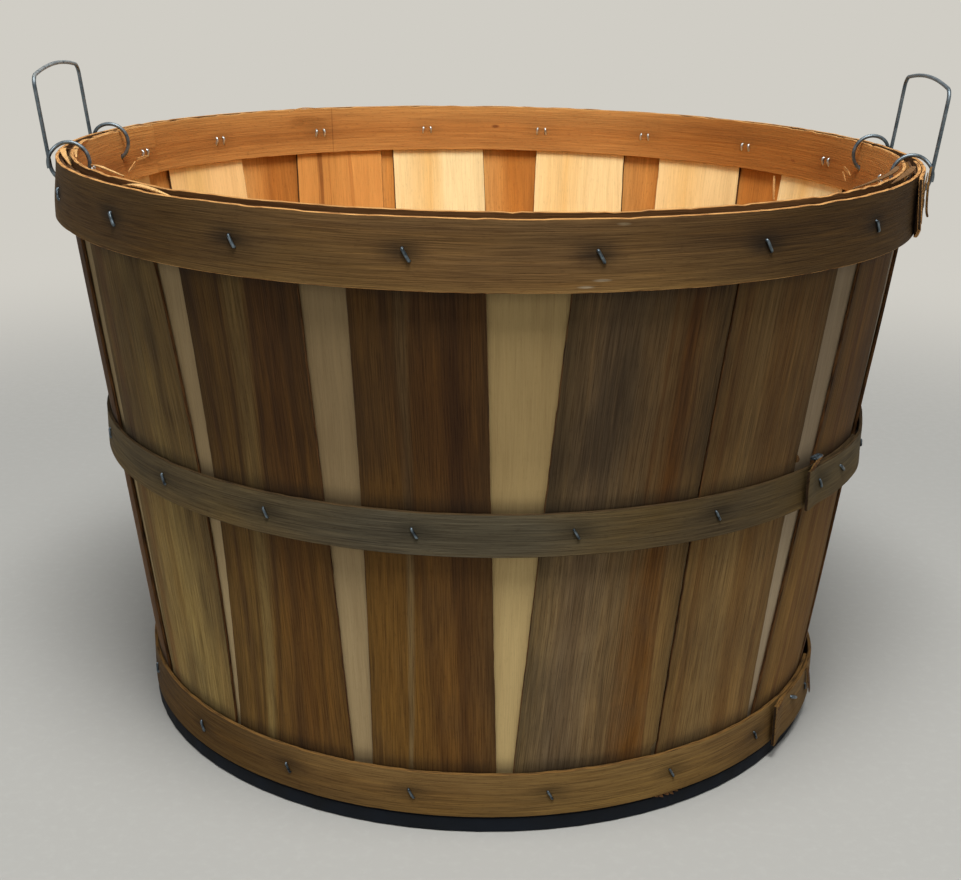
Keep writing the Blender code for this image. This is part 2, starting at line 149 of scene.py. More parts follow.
def linear(colour: str) -> tuple[float, float, float, float]:
    """Turns an sRGB hex colour to linear values.

    Args:
        colour: The colour, such as "#a08050".

    Returns:
        Red, green, blue and an alpha of 1.
    """
    channels = [int(colour[i : i + 2], 16) / 255 for i in (1, 3, 5)]
    turned = [c / 12.92 if c <= 0.04045 else ((c + 0.055) / 1.055) ** 2.4 for c in channels]
    return (*turned, 1.0)


def ease(share: float) -> float:
    """Returns a smooth step from 0 to 1 for a share that may lie outside that span."""
    held = min(max(share, 0.0), 1.0)
    return held * held * (3.0 - 2.0 * held)


def signed(angle: float) -> float:
    """Returns an angle in degrees between -180 and 180."""
    return (angle + 180.0) % TURN - 180.0


def azimuth_of(place: Vector) -> float:
    """Returns the azimuth of a point, in degrees."""
    return math.degrees(math.atan2(place.y, place.x))


def polar(radius: float, azimuth: float, level: float) -> Vector:
    """Returns the point at a radius, an azimuth in degrees and a level."""
    turned = math.radians(azimuth)
    return Vector((radius * math.cos(turned), radius * math.sin(turned), level))


def wave(a: float, b: float, seed: float) -> float:
    """Returns smooth noise between about -1 and 1 at two coordinates."""
    return noise.noise(Vector((a, b, seed * 7.31 + 0.5)))


def feed(tree: NodeTree, node: Node, feeds: dict[str | int, object]) -> Node:
    """Links or sets a node's inputs.

    Args:
        tree: The node tree.
        node: The node.
        feeds: For each input, by name or number, the socket to link, the node whose first output
            to link, or the value to set.

    Returns:
        The same node.
    """
    for key, value in feeds.items():
        source = value.outputs[0] if isinstance(value, Node) else value
        if isinstance(source, NodeSocket):
            tree.links.new(source, node.inputs[key])
        else:
            node.inputs[key].default_value = source
    return node


def add_node(
    tree: NodeTree, kind: str, feeds: dict[str | int, object] | None = None, **settings: object
) -> Node:
    """Adds a node with its settings, and links or sets its inputs.

    Args:
        tree: The node tree.
        kind: The node's type name.
        feeds: What its inputs get, as in feed.
        settings: The node's own properties.

    Returns:
        The new node.
    """
    node = tree.nodes.new(kind)
    for name, value in settings.items():
        setattr(node, name, value)
    return feed(tree, node, feeds or {})


def paint_ramp(node: Node, stops: Stops) -> Node:
    """Gives a colour ramp its stops.

    Args:
        node: The ramp.
        stops: Each stop's place from 0 to 1 and its colour.

    Returns:
        The same ramp.
    """
    elements = node.color_ramp.elements
    while len(elements) < len(stops):
        elements.new(1.0)
    for element, (place, colour) in zip(elements, stops):
        element.position = place
        element.color = linear(colour)
    return node


def new_paint(name: str) -> tuple[Material, NodeTree, Node]:
    """Makes a node material.

    Args:
        name: Its name.

    Returns:
        The material, its tree and its shader.
    """
    made = bpy.data.materials.new(name)
    made.use_nodes = True
    return made, made.node_tree, made.node_tree.nodes["Principled BSDF"]


def new_piece(name: str, data: bpy.types.ID, paints: Sequence[Material] = ()) -> Object:
    """Puts a mesh, a curve, a lamp or a camera into the scene, at the origin.

    Args:
        name: The object's name.
        data: What it holds.
        paints: The materials that a mesh gets.

    Returns:
        The object.
    """
    for paint in paints:
        data.materials.append(paint)
    piece = bpy.data.objects.new(name, data)
    bpy.context.scene.collection.objects.link(piece)
    return piece


def to_mesh(build: bmesh.types.BMesh, name: str) -> Mesh:
    """Turns a finished mesh build to a mesh whose faces point outwards.

    Args:
        build: The build, which is freed.
        name: The mesh's name.

    Returns:
        The mesh.
    """
    bmesh.ops.recalc_face_normals(build, faces=build.faces)
    mesh = bpy.data.meshes.new(name)
    build.to_mesh(mesh)
    build.free()
    return mesh


def plain_mesh(piece: Object) -> Mesh:
    """Takes a piece's shape as its modifiers leave it.

    Args:
        piece: A mesh or a curve.

    Returns:
        The new mesh.
    """
    graph = bpy.context.evaluated_depsgraph_get()
    return bpy.data.meshes.new_from_object(
        piece.evaluated_get(graph), preserve_all_data_layers=True, depsgraph=graph
    )


def settle(piece: Object) -> None:
    """Turns a piece's modifiers into plain mesh.

    Args:
        piece: The piece, whose mesh is replaced.
    """
    mesh = plain_mesh(piece)
    piece.modifiers.clear()
    piece.data = mesh


def sharpen(mesh: Mesh, angle: float = 35.0) -> None:
    """Marks the edges sharper than an angle, so that faces on both sides shade flat there.

    Args:
        mesh: The mesh.
        angle: The angle between the faces' normals, in degrees.
    """
    build = bmesh.new()
    build.from_mesh(mesh)
    for edge in build.edges:
        if len(edge.link_faces) == 2:
            edge.smooth = edge.calc_face_angle(0.0) < math.radians(angle)
    build.to_mesh(mesh)
    build.free()


def pierce(piece: Object, cutter: Object) -> None:
    """Cuts a piece by a cutter, in a modifier.

    Args:
        piece: The piece to cut.
        cutter: The shape that is taken out.
    """
    modifier = piece.modifiers.new("hole", "BOOLEAN")
    modifier.operation = "DIFFERENCE"
    modifier.solver = "EXACT"
    modifier.object = cutter


def hand_over(piece: Object, body: str, replaced: Sequence[str] = ()) -> Object:
    """Tells the frame what a finished piece is.

    Args:
        piece: The piece.
        body: The body that it rides on.
        replaced: The CAD nodes that it stands for.

    Returns:
        The same piece.
    """
    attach(piece, body)
    if replaced:
        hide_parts(*replaced)
    return piece


# Finishes


@dataclass(frozen=True)
class Streak:
    """A streak of heartwood or grime that runs up a sheet.

    Args:
        foot: Its place across at the foot, as a share of the width.
        head: Its place across at the head.
        foot_half: Half its width at the foot, as a share of the sheet's.
        head_half: Half its width at the head.
        colour: Its colour.
        strength: How far it covers the wood.
    """

    foot: float
    head: float
    foot_half: float
    head_half: float
    colour: str
    strength: float


@dataclass(frozen=True)
class Mark:
    """An oval mark: its place and its half sizes along and across, in metres."""

    along: float
    across: float
    long: float
    wide: float
    colour: str
    strength: float


@dataclass(frozen=True)
class VeneerFace:
    """Rotary-cut hardwood veneer, knife-peeled and left unfinished.

    Peeling leaves open grain: fine dark hair lines along the fibres, short open pores, and broad
    streaks of heartwood and sapwood that run the whole length. It is dry, so the shine is faint.

    Args:
        name: The material's name.
        stops: The wood's colours across the sheet.
        span: The sheet's width.
        start: Where the sheet starts in the grain map.
        length: The sheet's length.
        streaks: Streaks that run along it.
        marks: Oval marks on it.
        fibre: How strong the hair lines are.
        pores: How dark the pores are.
        drift: How far the colours stray across, as a share of the width.
        grey: How far weather has greyed it in patches.
        stain: How far the mesh's stain attribute darkens it.
        stain_tint: The stain's colour.
        shade: How far the upper wall is darkened by painted shade.
        broad: How strong the broad figure is.
        waver: How far the grain wanders sideways.
    """

    name: str
    stops: Stops
    span: float
    start: float = 0.0
    length: float = 0.3
    streaks: tuple[Streak, ...] = ()
    marks: tuple[Mark, ...] = ()
    fibre: float = 0.35
    pores: float = 0.2
    drift: float = 0.06
    grey: float = 0.0
    stain: float = 0.0
    stain_tint: str = "#0f0b06"
    shade: float = 0.0
    broad: float = 0.5
    waver: float = 0.005
    grey_tint: str = "#4c4638"
    figure_tint: str = "#b5a490"
    painted_shade_tint: str = "#b7b1aa"
    fibre_tint: str = "#9e8e79"
    lit_tint: str = "#fff6e2"
    pore_tint: str = "#897661"
    painted_shade_levels: tuple[float, float] = (0.10, 0.20)
    rough: tuple[float, float] = (0.74, 0.88)
    specular: float = 0.2
    relief: float = 0.0004
    # Length and spacing in metres, and detail: 0.5 mm from hair line to hair line, 2 mm between
    # the bands that they gather in, 0.9 mm between pores, and the broad figure and clouds
    hair: Triple = (0.026, 0.0005, 3.0)
    band: Triple = (0.07, 0.002, 3.0)
    pore: Triple = (0.004, 0.0009, 1.0)
    plank: Triple = (0.30, 0.014, 4.0)
    patch: Triple = (0.09, 0.04, 4.0)
    sway: Triple = (1 / 9, 1 / 30, 2.0)

    def material(self) -> Material:
        """Returns the node material."""
        made, tree, shader = new_paint(self.name)
        grain = add_node(tree, "ShaderNodeUVMap", uv_map=GRAIN_MAP)
        sway = drawn_noise(tree, grain, self.sway)
        drift = {0: sway, 1: self.waver, 2: -self.waver / 2}
        bend = add_node(tree, MATH, drift, operation="MULTIPLY_ADD")
        shift = add_node(tree, JOIN, {"Y": bend})
        bent = add_node(tree, VECTOR, {0: grain, 1: shift}, operation="ADD")
        hairs, bands, pores, figure, cloud = (
            drawn_noise(tree, bent, sizes, 0.55)
            for sizes in (self.hair, self.band, self.pore, self.plank, self.patch)
        )
        place = add_node(tree, SPLIT, {0: bent})
        parts = {0: place.outputs["Y"], 1: 1 / self.span}
        share = add_node(tree, MATH, parts, operation="MULTIPLY")
        stray = {0: figure, 1: 2 * self.drift, 2: -self.drift}
        swing = add_node(tree, MATH, stray, operation="MULTIPLY_ADD")
        across = add_node(tree, MATH, {0: share, 1: swing}, operation="ADD")
        shown = paint_ramp(add_node(tree, RAMP, {0: across}), self.stops).outputs[0]
        for streak in self.streaks:
            cover = self._streak(tree, streak, place.outputs["X"], across, cloud)
            shown = laid_over(tree, shown, cover, 0.0, 1.0, 1.0, streak.colour)
        for mark in self.marks:
            there = (-mark.along, -mark.across, 0.0)
            spot = add_node(tree, VECTOR, {0: grain, 1: there}, operation="ADD")
            sizes = (1 / mark.long, 1 / mark.wide, 1.0)
            pressed = add_node(tree, VECTOR, {0: spot, 1: sizes}, operation="MULTIPLY")
            reach = add_node(tree, VECTOR, {0: pressed}, operation="LENGTH").outputs["Value"]
            shown = laid_over(tree, shown, reach, 1.2, 0.5, mark.strength, mark.colour)
        soiled = add_node(tree, "ShaderNodeAttribute", attribute_name=STAIN).outputs["Fac"]
        layers = [
            (cloud, 0.40, 0.66, self.grey, self.grey_tint),
            (figure, 0.50, 0.74, self.broad, self.figure_tint, "MULTIPLY"),
            (cloud, 0.52, 0.72, 0.5 * self.broad, self.figure_tint, "MULTIPLY"),
            (bands, 0.46, 0.74, 0.45 * self.fibre, self.fibre_tint, "MULTIPLY"),
            (hairs, 0.42, 0.72, self.fibre, self.fibre_tint, "MULTIPLY"),
            (bands, 0.46, 0.26, 0.4 * self.fibre, self.lit_tint, "SOFT_LIGHT"),
            (pores, 0.64, 0.74, self.pores, self.pore_tint, "MULTIPLY"),
            (soiled, 0.0, 1.0, self.stain, self.stain_tint),
        ]
        if self.shade:
            # Painted shade: the upper wall, under the rim, is painted darker than the lower wall,
            # which the light off the floor reaches
            where = add_node(tree, PLACE).outputs["Object"]
            level = add_node(tree, SPLIT, {0: where}).outputs["Z"]
            layers.insert(3, (level, *self.painted_shade_levels, self.shade, self.painted_shade_tint, "MULTIPLY"))
        for layer in layers:
            shown = laid_over(tree, shown, *layer)
        height = add_node(tree, MATH, {0: bands, 1: 1.6, 2: hairs}, operation="MULTIPLY_ADD")
        low, high = self.rough
        dry = add_node(tree, RANGE, {0: hairs, 1: 0.3, 2: 0.7, 3: low, 4: high})
        constants = {"Roughness": dry, "Specular IOR Level": self.specular}
        finish(tree, shader, shown, height, (0.4, self.relief), constants)
        return made

    def _streak(
        self, tree: NodeTree, streak: Streak, along: NodeSocket, across: Node, cloud: Node
    ) -> Node:
        """Adds the nodes that say where a streak lies.

        Args:
            tree: The node tree.
            streak: The streak.
            along: The place along the grain, in metres.
            across: The place across, as a share of the width.
            cloud: Noise that makes the streak patchy.

        Returns:
            The node that gives its cover from 0 to 1.
        """
        run = {0: along, 1: self.start, 2: self.start + self.length}
        middle = add_node(tree, RANGE, run | {3: streak.foot, 4: streak.head})
        half = add_node(tree, RANGE, run | {3: streak.foot_half, 4: streak.head_half})
        off = add_node(tree, MATH, {0: across, 1: middle}, operation="SUBTRACT")
        away = add_node(tree, MATH, {0: off}, operation="ABSOLUTE")
        shares = add_node(tree, MATH, {0: away, 1: half}, operation="DIVIDE")
        near = add_node(tree, RANGE, {0: shares, 1: 1.25, 2: 0.45, 4: streak.strength})
        patchy = add_node(tree, RANGE, {0: cloud, 1: 0.25, 2: 0.6, 3: 1.0, 4: 0.65})
        return add_node(tree, MATH, {0: near, 1: patchy}, operation="MULTIPLY")


def drawn_noise(tree: NodeTree, place: Node, sizes: Triple, rough: float = 0.5) -> Node:
    """Adds noise that is drawn out along the grain.

    Args:
        tree: The node tree.
        place: The grain map.
        sizes: Its length and spacing in metres, and its detail.
        rough: How rough it is.

    Returns:
        The noise node.
    """
    length, spacing, detail = sizes
    scales = (1 / length, 1 / spacing, 1.0)
    drawn = add_node(tree, VECTOR, {0: place, 1: scales}, operation="MULTIPLY")
    feeds = {"Vector": drawn, "Scale": 1.0, "Detail": detail, "Roughness": rough}
    return add_node(tree, NOISE, feeds, noise_dimensions="2D")


def laid_over(
    tree: NodeTree,
    below: NodeSocket,
    value: object,
    low: float,
    high: float,
    most: float,
    colour: str,
    way: str = "MIX",
) -> NodeSocket:
    """Lays a colour over another where a value reaches into a span.

    Args:
        tree: The node tree.
        below: The colour below.
        value: The node or socket that says where.
        low: The value at which nothing is laid.
        high: The value at which all is laid.
        most: How far it covers there.
        colour: The colour above.
        way: How the two are mixed.

    Returns:
        The new colour.
    """
    share = add_node(tree, RANGE, {0: value, 1: low, 2: high, 4: most})
    feeds = {0: share, 6: below, 7: linear(colour)}
    return add_node(tree, MIX, feeds, data_type="RGBA", blend_type=way).outputs[2]


def finish(
    tree: NodeTree,
    shader: Node,
    colour: object,
    height: Node,
    bump: tuple[float, float],
    others: dict[str, object],
) -> None:
    """Leads a colour and a bump into a shader.

    Args:
        tree: The node tree.
        shader: The shader.
        colour: The base colour.
        height: The height of the bump.
        bump: The bump's strength and distance.
        others: What the shader's other inputs get.
    """
    strength, distance = bump
    feeds = {"Strength": strength, "Distance": distance, "Height": height}
    normal = add_node(tree, "ShaderNodeBump", feeds)
    feed(tree, shader, {"Base Color": colour, "Normal": normal} | others)


@dataclass(frozen=True)
class RawEdge:
    """The broken edge of veneer: bare wood, sawn or torn along its fibres.

    It is paler than the aged faces and shows as a line that changes tone every centimetre or so.
    """

    name: str
    pale: str = "#c9975a"
    deep: str = "#a06c38"
    dark: str = "#5a3a1e"
    # 11 mm from flake to flake, 0.6 mm from ply to ply, and the noise's detail
    flake: Triple = (0.011, 0.0006, 4.0)
    rough: float = 0.84
    specular: float = 0.2

    def material(self) -> Material:
        """Returns the node material."""
        made, tree, shader = new_paint(self.name)
        torn = drawn_noise(tree, add_node(tree, "ShaderNodeUVMap", uv_map=GRAIN_MAP), self.flake)
        stops = ((0.30, self.dark), (0.42, self.deep), (0.60, self.pale), (1.0, self.pale))
        tone = paint_ramp(add_node(tree, RAMP, {0: torn}), stops)
        constants = {"Roughness": self.rough, "Specular IOR Level": self.specular}
        finish(tree, shader, tone, torn, (0.5, 0.0004), constants)
        return made


@dataclass(frozen=True)
class DrawnWire:
    """Galvanised or bright steel wire, cold drawn through a die and gone dull with age.

    Zinc gives a blue-grey, half matt metal with pale blooms a few millimetres across. Above the
    crust's level a lumpy grey crust of paint or scale may cover the metal.
    """

    name: str
    body: str
    bloom: str
    rough: float
    crust: float = 0.0
    crust_level: float = 0.345
    crust_rise: float = 0.003
    crust_tint: str = "#8e928f"
    bloom_size: float = 0.004
    lump_scale: float = 420.0

    def material(self) -> Material:
        """Returns the node material."""
        made, tree, shader = new_paint(self.name)
        place = add_node(tree, PLACE).outputs["Object"]
        blooms = {"Vector": place, "Scale": 1 / self.bloom_size, "Detail": 4.0}
        patch = add_node(tree, NOISE, blooms)
        lumps = add_node(tree, NOISE, {"Vector": place, "Scale": self.lump_scale, "Detail": 3.0})
        tone = paint_ramp(add_node(tree, RAMP, {0: patch}), ((0.35, self.body), (0.68, self.bloom)))
        level = add_node(tree, SPLIT, {0: place}).outputs["Z"]
        rise = {0: level, 1: self.crust_level, 2: self.crust_level + self.crust_rise, 4: self.crust}
        near_top = add_node(tree, RANGE, rise)
        cover = add_node(tree, RANGE, {0: lumps, 1: 0.4, 2: 0.55})
        crusted = add_node(tree, MATH, {0: near_top, 1: cover}, operation="MULTIPLY")
        shown = laid_over(tree, tone.outputs[0], crusted, 0.0, 1.0, 1.0, self.crust_tint)
        metal = add_node(tree, RANGE, {0: crusted, 3: 0.85, 4: 0.1})
        dull = add_node(tree, RANGE, {0: patch, 3: self.rough - 0.1, 4: self.rough + 0.15})
        others = {"Metallic": metal, "Roughness": dull}
        finish(tree, shader, shown, lumps, (0.25, 0.0002), others)
        return made


@dataclass(frozen=True)
class SawnBoard:
    """Softwood board, band sawn: straight grain along one way and faint saw marks across it."""

    name: str
    pale: str
    deep: str
    rough: float = 0.78
    specular: float = 0.3
    # 90 mm along the grain, 6 mm across it and 17 mm through the board
    grain: Triple = (1 / 0.09, 1 / 0.006, 60.0)

    def material(self) -> Material:
        """Returns the node material."""
        made, tree, shader = new_paint(self.name)
        place = add_node(tree, PLACE).outputs["Object"]
        drawn = add_node(tree, VECTOR, {0: place, 1: self.grain}, operation="MULTIPLY")
        feeds = {"Vector": drawn, "Scale": 1.0, "Detail": 5.0, "Distortion": 0.4}
        rings = add_node(tree, NOISE, feeds)
        tone = paint_ramp(add_node(tree, RAMP, {0: rings}), ((0.34, self.deep), (0.62, self.pale)))
        constants = {"Roughness": self.rough, "Specular IOR Level": self.specular}
        finish(tree, shader, tone, rings, (0.3, 0.0004), constants)
        return made


# Veneer sheets


@dataclass
class VeneerSheet:
    """A thin closed board of veneer with a grain map in metres and raw edges.

    Args:
        name: The piece's name.
        columns: Faces along the sheet.
        rows: Faces across it.
        skin: Gives the outer and the inner point at shares along and across.
        grain: Gives the grain map's place, in metres, at shares along and across.
        stain: Gives the strength of the stain attribute at shares along and across: dirt, and on
            the staves also painted shadow under the rim hoop.
        worn: How far the corners of the edges are worn off.
        worn_angle: The angle from which a corner is worn, in degrees.
    """

    name: str
    columns: int
    rows: int
    skin: Callable[[float, float], tuple[Vector, Vector]]
    grain: Callable[[float, float], tuple[float, float]]
    stain: Callable[[float, float], float]
    worn: float = 0.00025
    worn_angle: float = 50.0

    def build(self, paints: Sequence[Material], cutters: Sequence[Object]) -> Object:
        """Builds the sheet.

        Args:
            paints: The materials of the outer face, the inner face, the edges and the ends.
            cutters: What pierces it.

        Returns:
            The piece, as plain mesh.
        """
        build = bmesh.new()
        self.grain_layer = build.loops.layers.uv.new(GRAIN_MAP)
        stain_layer = build.verts.layers.float.new(STAIN)
        outer, inner = [], []
        for i in range(self.columns + 1):
            for j in range(self.rows + 1):
                a, b = i / self.columns, j / self.rows
                dirt = self.stain(a, b)
                for side, point in zip((outer, inner), self.skin(a, b)):
                    vertex = build.verts.new(point)
                    vertex[stain_layer] = dirt
                    side.append(vertex)
        step = self.rows + 1
        for i in range(self.columns):
            for j in range(self.rows):
                ring = ((i, j), (i + 1, j), (i + 1, j + 1), (i, j + 1))
                for side, way, slot in ((outer, 1, Slot.OUTER), (inner, -1, Slot.INNER)):
                    corners = [(side[p * step + q], p, q, 0.0) for p, q in ring[::way]]
                    self._face(build, corners, slot)
        thick = (outer[0].co - inner[0].co).length
        last, top = self.columns, self.rows
        rims = [((i, j), (i + 1, j), Slot.EDGE) for i in range(last) for j in (0, top)]
        rims += [((i, j), (i, j + 1), Slot.END) for j in range(top) for i in (0, last)]
        for near, far, slot in rims:
            ring = [(outer, near, 0.0), (inner, near, thick), (inner, far, thick)]
            ring.append((outer, far, 0.0))
            self._face(build, [(s[p * step + q], p, q, down) for s, (p, q), down in ring], slot)
        piece = new_piece(self.name, to_mesh(build, self.name), paints)
        bevel = piece.modifiers.new("worn edges", "BEVEL")
        bevel.width = self.worn
        bevel.segments = 1
        bevel.limit_method = "ANGLE"
        bevel.angle_limit = math.radians(self.worn_angle)
        bevel.material = Slot.EDGE.value
        for cutter in cutters:
            pierce(piece, cutter)
        settle(piece)
        sharpen(piece.data)
        return piece

    def _face(self, build: bmesh.types.BMesh, corners: list[tuple], slot: Slot) -> None:
        """Adds a face.

        Args:
            build: The mesh build.
            corners: Each corner's vertex, its places along and across, and its step down the edge.
            slot: The face's material slot.
        """
        face = build.faces.new([corner[0] for corner in corners])
        face.smooth = True
        face.material_index = slot.value
        for loop, (_, i, j, down) in zip(face.loops, corners):
            u, v = self.grain(i / self.columns, j / self.rows)
            loop[self.grain_layer].uv = (u, v + down)


# Staves


@dataclass(frozen=True)
class StaveLook:
    """The outer face of one stave, from its low azimuth edge to its high one."""

    stops: Stops
    grey: float
    streaks: tuple[Streak, ...]


DARK_BROWN = StaveLook(
    ((0.0, "#785722"), (0.28, "#80602a"), (0.5, "#77531f"), (0.7, "#724d1b"), (1.0, "#785420")),
    0.12,
    (
        Streak(0.21, 0.06, 0.04, 0.04, "#523410", 0.75),
        Streak(0.30, 0.50, 0.035, 0.10, "#a58d56", 0.75),
        Streak(0.235, 0.375, 0.012, 0.018, "#4c300e", 0.75),
        Streak(0.375, 0.635, 0.02, 0.03, "#4c300e", 0.75),
        Streak(0.60, 0.74, 0.05, 0.04, "#50340f", 0.5),
        Streak(0.80, 0.90, 0.03, 0.04, "#50340f", 0.6),
    ),
)
DEEP_BROWN = StaveLook(
    ((0.0, "#7f5a22"), (0.3, "#785521"), (0.6, "#76501e"), (1.0, "#745021")),
    0.2,
    (
        Streak(0.30, 0.42, 0.02, 0.07, "#927f58", 0.5),
        Streak(0.62, 0.20, 0.05, 0.06, "#563610", 0.6),
        Streak(0.80, 0.74, 0.06, 0.10, "#563610", 0.6),
    ),
)
GREY_BROWN = StaveLook(
    ((0.0, "#846c45"), (0.25, "#8b7250"), (0.5, "#886f4a"), (0.75, "#8a6838"), (1.0, "#8c6e3f")),
    0.42,
    (
        Streak(0.28, 0.32, 0.12, 0.10, "#756248", 0.55),
        Streak(0.75, 0.78, 0.13, 0.02, "#7a4c12", 0.9),
        Streak(0.75, 0.78, 0.05, 0.006, "#68420f", 0.6),
        Streak(0.64, 0.62, 0.03, 0.015, "#774a14", 0.5),
        Streak(0.86, 0.83, 0.02, 0.012, "#643811", 0.5),
        Streak(0.47, 0.50, 0.05, 0.04, "#967343", 0.4),
    ),
)
OLIVE = StaveLook(
    ((0.0, "#9f8149"), (0.3, "#a88a4d"), (0.62, "#aa8f52"), (1.0, "#ae9155")),
    0.3,
    (
        Streak(0.14, 0.18, 0.05, 0.07, "#885722", 0.7),
        Streak(0.5, 0.42, 0.05, 0.05, "#876229", 0.5),
        Streak(0.84, 0.78, 0.06, 0.06, "#735a2b", 0.5),
    ),
)
TAN = StaveLook(
    ((0.0, "#906e3a"), (0.35, "#987a4a"), (0.6, "#926f3c"), (1.0, "#977543")),
    0.25,
    (
        Streak(0.62, 0.5, 0.10, 0.12, "#845c27", 0.6),
        Streak(0.15, 0.12, 0.04, 0.04, "#744b1b", 0.5),
        Streak(0.9, 0.84, 0.03, 0.05, "#6f491e", 0.5),
    ),
)
RED_BROWN = StaveLook(
    ((0.0, "#7e5a24"), (0.12, "#8f6a32"), (0.45, "#926b33"), (0.7, "#865f2a"), (1.0, "#8f6a30")),
    0.12,
    (Streak(0.3, 0.35, 0.05, 0.06, "#6f4419", 0.6), Streak(0.8, 0.7, 0.06, 0.05, "#6c451a", 0.5)),
)
UMBER = StaveLook(
    ((0.0, "#7f572e"), (0.5, "#8a6230"), (0.75, "#734b23"), (1.0, "#7f582b")),
    0.15,
    (Streak(0.4, 0.5, 0.06, 0.05, "#5c381c", 0.6), Streak(0.78, 0.7, 0.05, 0.07, "#967a4e", 0.5)),
)

OUTER_LOOKS = (
    UMBER, OLIVE, DARK_BROWN, DEEP_BROWN, GREY_BROWN, TAN, RED_BROWN, UMBER,
    OLIVE, DARK_BROWN, TAN, GREY_BROWN, DEEP_BROWN, RED_BROWN, OLIVE, DARK_BROWN,
)
# The inner skin's face towards the gaps outside, and its face towards the inside
INNER_LOOKS = (
    ("#b9a276", "#ffe0a0"), ("#bca47a", "#fbd08c"), ("#b0986f", "#ffe4a6"), ("#ceb27a", "#ffdb98"),
    ("#ac946d", "#ffe2a4"), ("#b4a082", "#f8cd88"), ("#ada28b", "#ffe2a8"), ("#a89167", "#fdd692"),
    ("#ac9369", "#ffe4aa"), ("#aa926b", "#fddb9c"), ("#ae956d", "#ffe0a2"), ("#a88e63", "#ffe6ac"),
    ("#aa936d", "#dd9a50"), ("#ae956b", "#fbd08e"), ("#a88f69", "#ffe4a8"), ("#a0885e", "#f9d094"),
)
# Which inner staves are cut from heartwood, with the streaks of their inside
HEARTWOOD = {
    12: (
        Streak(0.76, 0.76, 0.035, 0.04, "#7c4216", 0.85),
        Streak(0.60, 0.60, 0.012, 0.014, "#a2612a", 0.7),
        Streak(0.36, 0.38, 0.02, 0.03, "#b06c30", 0.6),
    )
}
# How far an outer stave's edge (0 low azimuth, 1 high) stands aside at the bottom hoop, the middle
# hoop and the rim
CROOKED = {
    (1, 1): (0.0015, 0.0076, 0.0),
    (2, 0): (-0.0006, 0.0054, 0.0),
    (2, 1): (0.0040, 0.0031, 0.0012),
    (3, 0): (0.0012, 0.0032, 0.0022),
    (4, 1): (0.0002, 0.0006, 0.0042),
    (5, 0): (0.0002, 0.0006, 0.0042),
    (5, 1): (0.0014, 0.0010, 0.0068),
    (6, 0): (0.0022, 0.0092, 0.0170),
    (7, 0): (0.0010, 0.0100, 0.0110),
}
# The outer skin's face towards the inside: browner, since it is heartwood
OUTER_BACKS = ("#d08a40", "#c77f36", "#d6944a", "#c07a32")


